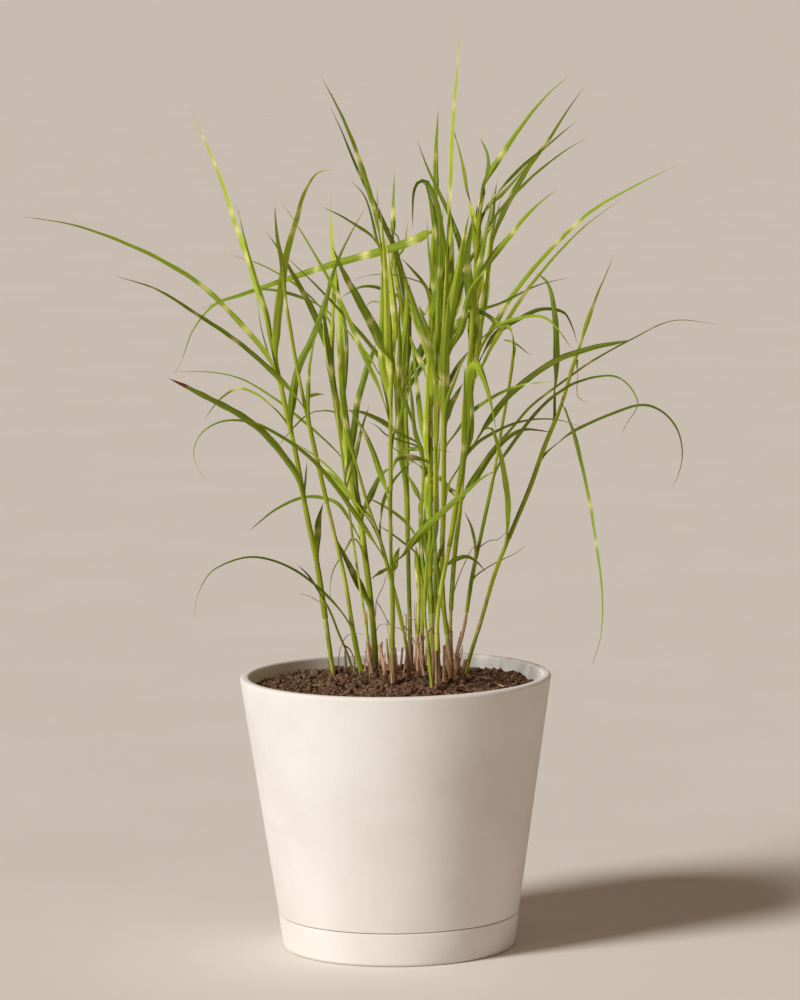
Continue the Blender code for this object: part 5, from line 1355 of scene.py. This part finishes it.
def leaf_material():
    """Green blades with pale midribs, fine veins, pale streaks along them that are partly veins and
    partly painted highlight, cream cross bands and dead tips.
    """
    look = Shader("zebra_blade")
    along, across, tone = look.paint("along"), look.paint("across"), look.paint("tint")
    under, dry = look.paint("under"), look.paint("dry")
    own = look.math("MULTIPLY", tone, 53.0)

    def pattern(wide, long, detail, roughness=0.5, shift=own):
        """A noise of the leaf's own that changes so many times across and along the blade."""
        where = look.vector(look.math("MULTIPLY_ADD", across, wide, shift),
                            look.math("MULTIPLY", along, long), own)
        return look.noise(where, 1.0, detail, roughness)

    veins = pattern(7.0, 20.0, 3.0, 0.6)
    threads = pattern(26.0, 30.0, 1.0)
    clouds = pattern(1.0, 45.0, 2.0, shift=0.0)
    spots = pattern(3.0, 160.0, 2.0, shift=0.0)
    # Pale streaks along the blade: partly its veins, partly painted highlight, stronger on brighter
    # leaves.
    stripes_and_highlights = look.step(pattern(12.0, 9.0, 2.0), 0.52, 0.68)
    # The leaf's tone, partly painted light and shade, sets how bright its green is.
    bright = look.sway(clouds, 0.5, look.sway(veins, 0.9, tone))
    colour = look.mix(look.step(bright, -0.1, 0.6), "olive leaf", "green leaf")
    colour = look.mix(look.step(bright, 0.45, 1.15), colour, "bright leaf")
    colour = look.over(colour, stripes_and_highlights, look.range(tone, 0.0, 1.0, 0.36, 0.62), "pale stripe and highlight")
    colour = look.over(colour, under, 0.3, "underside")
    midrib = look.step(look.math("ABSOLUTE", across), 0.2, 0.04)
    colour = look.over(colour, midrib, look.range(under, 0.0, 1.0, 0.6, 0.25), "midrib")
    sheath = look.mix(look.math("MULTIPLY_ADD", veins, 0.6, look.math("MULTIPLY", tone, 0.5)),
                      "dark sheath", "pale sheath")
    colour = look.over(colour, look.step(along, 0.045, -0.01), 0.85, sheath)
    band = look.step(look.sway(threads, 0.026, look.paint("band")), -0.002, 0.003)
    colour = look.over(colour, band, 0.85, look.mix(threads, "band", "pale band"))
    dead = look.mix(look.step(dry, 0.5, 1.0), "dying tip",
                    look.mix(spots, "dead tip", "pale dead tip"))
    colour = look.mix(look.step(look.sway(spots, 0.5, dry), 0.3, 0.7), colour, dead)
    grain = look.math("MULTIPLY_ADD", threads, 0.6, look.math("MULTIPLY", veins, 0.4))
    return look.finish(colour, look.range(veins, 0.2, 0.8, 0.42, 0.6),
                       look.bump(grain, 0.5, 0.0005), specular=0.06)


def culm_material():
    """Ribbed stems, pale at the nodes, with some that have died back to straw at the foot."""
    look = Shader("zebra_culm")
    tint, band, dry = look.paint("tint"), look.paint("band"), look.paint("dry")
    own = look.math("MULTIPLY", tint, 31.0)
    ribs = look.noise(look.place((1500, 1500, 14)), 1.0, 2.0)
    patches = look.noise(look.place((130, 130, 26)), 1.0, 3.0, 0.6)
    bright = look.math("MULTIPLY_ADD", ribs, 0.5, look.math("MULTIPLY", tint, 0.5))
    bright = look.sway(patches, 1.2, bright)
    colour = look.mix(look.step(bright, 0.1, 0.9), "dark culm", "pale culm")
    colour = look.over(colour, look.step(band, 0.0045, 0.0008), 0.6, "culm node")
    colour = look.over(colour, look.step(band, 0.016, 0.004), 0.4, "culm bloom")
    streaks = look.noise(look.vector(own, look.math("MULTIPLY", look.paint("along"), 24.0)),
                         1.0, 3.0)
    brown = look.step(look.math("MULTIPLY_ADD", ribs, 0.35, streaks), 0.68, 0.86)
    colour = look.over(colour, brown, 0.4, "culm streak")
    straw = look.mix(ribs, "dark culm straw", "pale culm straw")
    colour = look.mix(look.step(look.sway(ribs, 1.1, dry), 0.35, 0.65), colour, straw)
    flecks = look.step(look.noise(look.place((420, 420, 60)), 1.0, 2.0), 0.62, 0.72)
    colour = look.over(colour, flecks, 0.5, "culm fleck")
    return look.finish(colour, look.range(ribs, 0.2, 0.8, 0.42, 0.62),
                       look.bump(ribs, 0.5, 0.0006), specular=0.08)


def dry_material():
    """Dead straw: split fibres from grey brown to pale tan."""
    look = Shader("dry_straw")
    tint = look.paint("tint")
    own = look.math("MULTIPLY", tint, 47.0)
    fibres = look.noise(look.place((1300, 1300, 40)), 1.0, 3.0, 0.6)
    patches = look.noise(look.node("VectorMath", {0: look.place((70, 70, 40)),
                                                  1: look.vector(own, own, own)}), 1.0, 2.0)
    shade = look.math("MULTIPLY_ADD", tint, 0.6, look.math("MULTIPLY", patches, 0.6))
    colour = look.mix(look.step(shade, 0.28, 0.66), look.mix(fibres, "dark straw", "brown straw"),
                      look.mix(fibres, "tan straw", "pale straw"))
    return look.finish(colour, look.range(fibres, 0.2, 0.8, 0.6, 0.85),
                       look.bump(fibres, 0.7, 0.0006), specular=0.25)


def soil_material():
    """Dark potting soil with darker patches that are partly painted shade between crumbs, lighter bark
    and a few pale grains.
    """
    look = Shader("potting_soil")
    coarse = look.noise(look.place(), 260.0, 4.0, 0.65)
    fine = look.noise(look.place(), 1500.0, 3.0, 0.6)
    # Darker patches: partly the soil's own colour, partly painted shade in the gaps between crumbs.
    colour = look.mix(look.step(coarse, 0.35, 0.68), "dark soil and shade", "soil")
    colour = look.over(colour, look.step(look.paint("tint"), 0.3, 0.9), 0.85,
                       look.mix(fine, "bark", "pale bark"))
    grains = look.step(look.noise(look.place(), 900.0, 1.0), 0.66, 0.74)
    colour = look.over(colour, grains, 0.6, "grain of soil")
    grain = look.math("MULTIPLY_ADD", fine, 0.5, coarse)
    return look.finish(colour, look.range(fine, 0.2, 0.8, 0.8, 1.0),
                       look.bump(grain, 1.0, 0.0022), specular=0.2)


def pot_material():
    """Cream fibre stone: matt, finely grained, with faint clouds and pinholes."""
    look = Shader("cream_fibre_stone")
    clouds = look.noise(look.place(), 9.0, 4.0, 0.55)
    brushed = look.noise(look.place((6, 6, 46)), 1.0, 3.0, 0.6)
    grain = look.noise(look.place(), 850.0, 3.0, 0.7)
    lumps = look.noise(look.place(), 130.0, 3.0, 0.6)
    colour = look.mix(look.step(clouds, 0.3, 0.7), "stone", "pale stone")
    colour = look.over(colour, look.step(brushed, 0.55, 0.8), 0.3, "brushed stone")
    colour = look.over(colour, look.step(grain, 0.5, 0.78), 0.3, "stone grain")
    pores = look.node("TexVoronoi", {"Vector": look.place(), "Scale": 240.0}, "Distance")
    pinholes = look.math("MULTIPLY", look.step(pores, 0.14, 0.06), look.step(lumps, 0.55, 0.65))
    colour = look.over(colour, pinholes, 0.5, "pinhole")
    relief = look.math("MULTIPLY_ADD", lumps, 0.6, look.math("MULTIPLY", grain, 0.35))
    relief = look.math("SUBTRACT", relief, look.math("MULTIPLY", pinholes, 0.8))
    return look.finish(colour, look.range(grain, 0.2, 0.8, 0.72, 0.92),
                       look.bump(relief, 0.4, 0.0006), specular=0.3)


def floor_material():
    look = Shader("pale_floor")
    clouds = look.noise(look.place(), 3.0, 4.0, 0.6)
    grain = look.noise(look.place(), 220.0, 2.0)
    colour = look.mix(clouds, "floor", "pale floor")
    return look.finish(colour, look.range(grain, 0.0, 1.0, 0.85, 0.95),
                       look.bump(grain, 0.1, 0.0005), specular=0.2)


# Planter and soil.
def soil_height(x, y):
    return SOIL_EDGE_HEIGHT + SOIL_MOUND * math.exp(-(x * x + y * y) / SOIL_MOUND_RADIUS ** 2)


def soil_top(x, y):
    """The crumbly surface of the soil."""
    level = soil_height(x, y)
    for wave, depth in SOIL_WAVES:
        level += depth * noise.noise(Vector((x / wave, y / wave, wave / MM)))
    return level


def arc_points(centre, radius, first, last, count):
    """Points of a profile's rounding, from one angle in degrees to another."""
    turns = np.radians(np.linspace(first, last, count))
    return [(centre[0] + radius * math.cos(turn), centre[1] + radius * math.sin(turn))
            for turn in turns]


def add_turned(skin, profile, ends_joined):
    """A body of revolution about Z from its profile."""
    profile = np.array(profile)
    turn = np.arange(ROUND_SIDES) * 2 * math.pi / ROUND_SIDES
    radius, height = profile[:, :1], profile[:, 1:]
    rings = np.stack([radius * np.cos(turn), radius * np.sin(turn),
                      np.broadcast_to(height, (len(profile), ROUND_SIDES))], axis=-1)
    skin.loft(rings, ends_joined=ends_joined)


def pot_inner_radius(height):
    """The radius of the pot's inner wall, from above its floor's rounding up to its rim."""
    low, high = POT_FLOOR + FLOOR_ROUNDING, POT_HEIGHT - FLOOR_ROUNDING
    foot, rim = POT_FLOOR_RADIUS + FLOOR_ROUNDING, POT_RIM_RADIUS - POT_WALL
    return foot + (rim - foot) * (height - low) / (high - low)


def dress_planter(finish):
    inside = SAUCER_RIM_RADIUS - SAUCER_WALL
    seam = SAUCER_RIM_RADIUS - SEAM_ROUNDING
    outline = [(ON_THE_AXIS, 0)]
    outline += arc_points((SAUCER_FOOT_RADIUS - FOOT_ROUNDING, FOOT_ROUNDING), FOOT_ROUNDING,
                          -90, 0, 7)
    outline += arc_points((seam, SEAM_HEIGHT - SEAM_ROUNDING), SEAM_ROUNDING, 0, 90, 5)
    outline += [(inside, SEAM_HEIGHT), (inside - SAUCER_FLARE, SAUCER_FLOOR),
                (ON_THE_AXIS, SAUCER_FLOOR)]
    skin = Skin()
    add_turned(skin, outline, False)
    skin.piece("saucer_flush", [finish], "pot", "saucer")

    foot = inside - POT_FOOT_CLEAR
    under = SAUCER_FLOOR + CLEAR_OF_SAUCER
    low = SEAM_HEIGHT + SEAM_GAP
    high = POT_HEIGHT - RIM_ROUNDING
    rim_in = POT_RIM_RADIUS - POT_WALL
    outline = [(DRAIN_RADIUS, under), (foot - POT_FOOT_EDGE, under),
               (foot, SAUCER_FLOOR + POT_FOOT_EDGE), (foot + POT_FOOT_FLARE, low - HIDDEN_SEAM)]
    outline += arc_points((seam, low + SEAM_ROUNDING), SEAM_ROUNDING, -90, 0, 5)
    outline += [(SAUCER_RIM_RADIUS + (POT_RIM_RADIUS - SAUCER_RIM_RADIUS) * share,
                 low + (high - low) * share) for share in POT_WALL_STATIONS]
    outline += arc_points((POT_RIM_RADIUS - RIM_ROUNDING, high), RIM_ROUNDING, 0, 90, 8)
    outline += arc_points((rim_in + RIM_ROUNDING, high), RIM_ROUNDING, 90, 180, 8)
    outline += [(pot_inner_radius(height), height) for height in INNER_WALL_HEIGHTS]
    outline += arc_points((POT_FLOOR_RADIUS, POT_FLOOR + FLOOR_ROUNDING), FLOOR_ROUNDING,
                          0, -90, 5)
    outline += [(DRAIN_RADIUS, POT_FLOOR)]
    skin = Skin()
    add_turned(skin, outline, True)
    skin.piece("pot_tapered", [finish], "pot", "pot")


def ball_shape():
    """The corners and faces of a round ball of radius 1."""
    lump = bmesh.new()
    bmesh.ops.create_icosphere(lump, subdivisions=CRUMB_ROUNDS, radius=1.0)
    corners = np.array([corner.co for corner in lump.verts])
    faces = [[corner.index for corner in face.verts] for face in lump.faces]
    lump.free()
    return corners, faces


def add_crumbs(skin, edge, rng):
    """Loose crumbs of many sizes, strewn over the soil out to the pot's wall."""
    ball, faces = ball_shape()
    for _ in range(CRUMBS):
        spread = edge * math.sqrt(rng.uniform(0, CRUMB_SPREAD))
        angle = rng.uniform(0, 2 * math.pi)
        x, y = spread * math.cos(angle), spread * math.sin(angle)
        size = CRUMB_SIZE * rng.uniform(*CRUMB_SIZES) ** CRUMB_SIZE_POWER
        size = min(size, 0.5 * (edge - spread) + CRUMB_LEAST)
        shape = ball * rng.uniform(*CRUMB_SHAPES, 3)
        offset = Vector(rng.uniform(-CRUMB_NOISE_REACH, CRUMB_NOISE_REACH, 3))
        swell = np.array([noise.noise(Vector(corner) * CRUMB_NOISE_SCALE + offset)
                          for corner in ball])
        shape = shape * (1 + CRUMB_LUMPS * swell)[:, None] * size
        spin = np.array(Matrix.Rotation(rng.uniform(0, FULL_TURN), 3, "Z")
                        @ Matrix.Rotation(rng.uniform(0, FULL_TURN), 3, "X"))
        centre = np.array([x, y, soil_top(x, y) + CRUMB_RISE * size])
        pale = rng.uniform(0, 1) ** PALE_POWER * (PALEST_SIZE - size / CRUMB_SIZE)
        skin.add(shape @ spin.T + centre, faces, 0, tint=pale)


def dress_soil(finish, rng):
    """The soil's crumbly surface down to the pot's floor, and loose crumbs on it."""
    edge = pot_inner_radius(SOIL_EDGE_HEIGHT) - SOIL_CLEAR
    floor = POT_FLOOR + SOIL_ABOVE_FLOOR
    turn = np.arange(SOIL_SIDES) * 2 * math.pi / SOIL_SIDES
    rows = []
    for radius, height in ((ON_THE_AXIS, floor), (POT_FLOOR_RADIUS - SOIL_FOOT_CLEAR, floor),
                           (pot_inner_radius(SOIL_WALL_HEIGHT) - SOIL_CLEAR, SOIL_WALL_HEIGHT)):
        rows.append([(radius * math.cos(a), radius * math.sin(a), height) for a in turn])
    for radius in np.linspace(edge, SOIL_MIDDLE, SOIL_ROWS):
        spots = [(radius * math.cos(a), radius * math.sin(a)) for a in turn]
        rows.append([(x, y, soil_top(x, y)) for x, y in spots])
    skin = Skin()
    skin.loft(np.array(rows), tint=SOIL_TINT)
    skin.piece("soil_surface", [finish], "soil", "soil")
    skin = Skin()
    add_crumbs(skin, edge, rng)
    skin.piece("soil_crumbs", [finish], "soil")


# The plant.
def sheath_plans(rng):
    """For each leaf, how long its sheath is and how far it stands off its stem."""
    plans = {}
    for stem in STEMS:
        own = [(leaf[1], name) for name, leaf in LEAVES.items() if leaf[0] == stem]
        own += [(leaf[1], name) for name, leaf in numbered("small", SMALL_LEAVES)
                + numbered("fine", FINE_LEAVES) if leaf[0] == stem]
        for layer, (_, name) in enumerate(sorted(own, reverse=True)):
            length = rng.uniform(*SHEATH_LENGTHS) * MM
            if name.startswith("fine"):
                length *= SHORT_SHEATH
            plans[name] = (length, SHEATH_CLEAR + SHEATH_LAYER * (layer % SHEATH_LAYERS))
    return plans


def stand_close(leaf):
    """The leaf again, wider high up and turned less: it stands close to its stem."""
    stem, height, width, depth, roll, readings = leaf
    wider = CLOSE_WIDER if height > CLOSE_HEIGHT else 1.0
    return stem, height, width * wider, depth, roll * CLOSE_ROLL, readings


def dead_length(name, rng):
    return DEAD_TIPS.get(name, rng.uniform(*USUAL_DEAD_TIPS)) * MM


def dress_plant(blade_finish, culm_finish, rng):
    strands = grow()
    strands.update(grow_fine(strands))
    plans = sheath_plans(rng)
    fine = [stand_close(leaf) if number >= CLOSE_FROM else leaf
            for number, leaf in enumerate(FINE_LEAVES)]

    def add(skin, name, leaf, slot):
        points = np.array(strands[name].points())
        add_leaf(skin, name, leaf, points, rng, *plans[name], dead_length(name, rng), slot)

    for stem in STEMS:
        skin = Skin()
        add_culm(skin, stem, rng)
        for name, leaf in numbered("small", SMALL_LEAVES) + numbered("fine", fine):
            if leaf[0] == stem:
                add(skin, name, leaf, 1)
        skin.piece(stem.replace("stem", "culm"), [culm_finish, blade_finish], "stem", stem)
    for name, leaf in LEAVES.items():
        skin = Skin()
        add(skin, name, leaf, 0)
        skin.piece(name.replace("leaf", "blade"), [blade_finish], "leaf", name)


def on_soil(x, y, above=0.0):
    """A place on the soil, from millimetres."""
    return np.array([x * MM, y * MM, soil_height(x * MM, y * MM) + above])


def add_fibres(skin, rng):
    """Dry fibres that start at a stem, at the soil or at another fibre."""
    for start_depth, end_depth, width, readings in FIBRES:
        depths = np.linspace(start_depth, end_depth, len(readings))
        points = [place(across * MM, up * MM, depth * MM)
                  for (across, up), depth in zip(readings, depths)]
        line = smooth_line(points, FIBRE_STEPS)
        share = np.linspace(0, 1, len(line))
        uneven = FIBRE_UNEVEN[0] + FIBRE_UNEVEN[1] * rng.random(len(line))
        add_tube(skin, line, 0.5 * width * MM * (1 - FIBRE_THINNING * share) * uneven, rng,
                 FIBRE_FLATTEN)


def add_straws(skin, rng):
    """Bits of straw lying on the soil."""
    for x, y, length, heading, width in STRAWS:
        turn = math.radians(heading)
        points = [on_soil(x + s * length * math.cos(turn), y + s * length * math.sin(turn),
                          STRAW_LIFT) for s in STRAW_STATIONS]
        line = smooth_line(points, STRAW_STEPS)
        uneven = STRAW_UNEVEN[0] + STRAW_UNEVEN[1] * rng.random(len(line))
        add_tube(skin, line, 0.5 * width * MM * uneven, rng, STRAW_FLATTEN)


def dress_litter(finish, rng):
    """Dry stubs, torn sheaths, fibres and straw round the feet of the stems."""
    for name, (x, y, height, lean_x, lean_y, width) in STUBS.items():
        skin = Skin()
        lean = unit(np.array([lean_x, lean_y, height], float))
        add_stub(skin, on_soil(x, y), lean, height * MM, width * MM, rng)
        skin.piece(name.replace("stub", "cut_straw"), [finish], "dry", name)
    skin = Skin()
    for x, y, height, lean_x, lean_y, width in DRY_STUBS:
        slant = rng.uniform(-1, 1, 3) * STUB_SLANT * height
        lean = unit(np.array([lean_x, lean_y, height]) + slant)
        add_stub(skin, on_soil(x, y), lean, height * MM, width * MM * rng.uniform(*STUB_WIDTHS),
                 rng)
    skin.piece("dry_stubs", [finish], "dry")
    skin = Skin()
    for stem, height, clear, turn in DRY_SHEATHS:
        add_papery_sheath(skin, stem, height * MM, clear * MM, math.radians(turn), rng)
    skin.piece("dry_sheaths", [finish], "dry")
    skin = Skin()
    add_fibres(skin, rng)
    add_straws(skin, rng)
    skin.piece("dry_fibres", [finish], "dry")


# The camera, the light and the floor.
def add_camera():
    """A long lens straight in front of the plant, looking slightly down at it."""
    right = Vector((1, 0, 0))
    up = Vector((0, math.sin(CAMERA_DIP), math.cos(CAMERA_DIP)))
    back = right.cross(up)
    tilted_right = right * math.cos(CAMERA_LEAN) - up * math.sin(CAMERA_LEAN)
    tilted_up = right * math.sin(CAMERA_LEAN) + up * math.cos(CAMERA_LEAN)
    data = bpy.data.cameras.new("camera")
    data.sensor_fit = "VERTICAL"
    data.sensor_height = SENSOR
    data.lens = LENS
    data.clip_end = CLIP_END
    camera = bpy.data.objects.new("camera", data)
    turned = Matrix((tilted_right, tilted_up, back)).transposed()
    camera.matrix_world = Matrix.LocRotScale(Vector(EYE), turned, None)
    bpy.context.scene.collection.objects.link(camera)
    bpy.context.scene.camera = camera


def add_sun(name, azimuth, height, strength, softness, colour):
    """A soft studio light from an azimuth, in degrees left of the camera, and a height."""
    data = bpy.data.lights.new(name, "SUN")
    data.energy = strength
    data.angle = math.radians(softness)
    data.color = colour
    turn, rise = math.radians(azimuth), math.radians(height)
    source = Vector((-math.sin(turn) * math.cos(rise), -math.cos(turn) * math.cos(rise),
                     math.sin(rise)))
    light = bpy.data.objects.new(name, data)
    light.rotation_euler = source.to_track_quat("Z", "Y").to_euler()
    bpy.context.scene.collection.objects.link(light)


def add_sky():
    """A plain warm sky, paler just above the floor's end so that no dark line shows there."""
    world = bpy.data.worlds.new("studio")
    world.use_nodes = True
    nodes, links = world.node_tree.nodes, world.node_tree.links
    where = nodes.new("ShaderNodeTexCoord")
    upward = nodes.new("ShaderNodeSeparateXYZ")
    links.new(where.outputs["Generated"], upward.inputs[0])
    ramp = nodes.new("ShaderNodeValToRGB")
    links.new(upward.outputs["Z"], ramp.inputs["Fac"])
    low, high = ramp.color_ramp.elements
    low.position, low.color = HORIZON_GLOW, HORIZON_COLOUR
    high.position, high.color = HORIZON_GLOW * HORIZON_FADE, SKY_COLOUR
    links.new(ramp.outputs["Color"], nodes["Background"].inputs["Color"])
    nodes["Background"].inputs["Strength"].default_value = 1.0
    bpy.context.scene.world = world


def add_floor():
    mesh = bpy.data.meshes.new("floor")
    half = FLOOR_HALF
    mesh.from_pydata([(-half, -half, 0), (half, -half, 0), (half, half, 0), (-half, half, 0)],
                     [], [(0, 1, 2, 3)])
    mesh.materials.append(floor_material())
    floor = bpy.data.objects.new("floor", mesh)
    bpy.context.scene.collection.objects.link(floor)


def add_studio():
    for light in LIGHTS:
        add_sun(*light)
    add_sky()
    add_floor()
    bpy.context.scene.view_settings.view_transform = "Standard"


def main():
    rng = np.random.default_rng(SEED)
    add_camera()
    add_studio()
    dress_planter(pot_material())
    dress_soil(soil_material(), rng)
    dress_plant(leaf_material(), culm_material(), rng)
    dress_litter(dry_material(), rng)


main()
bpy.context.view_layer.update()
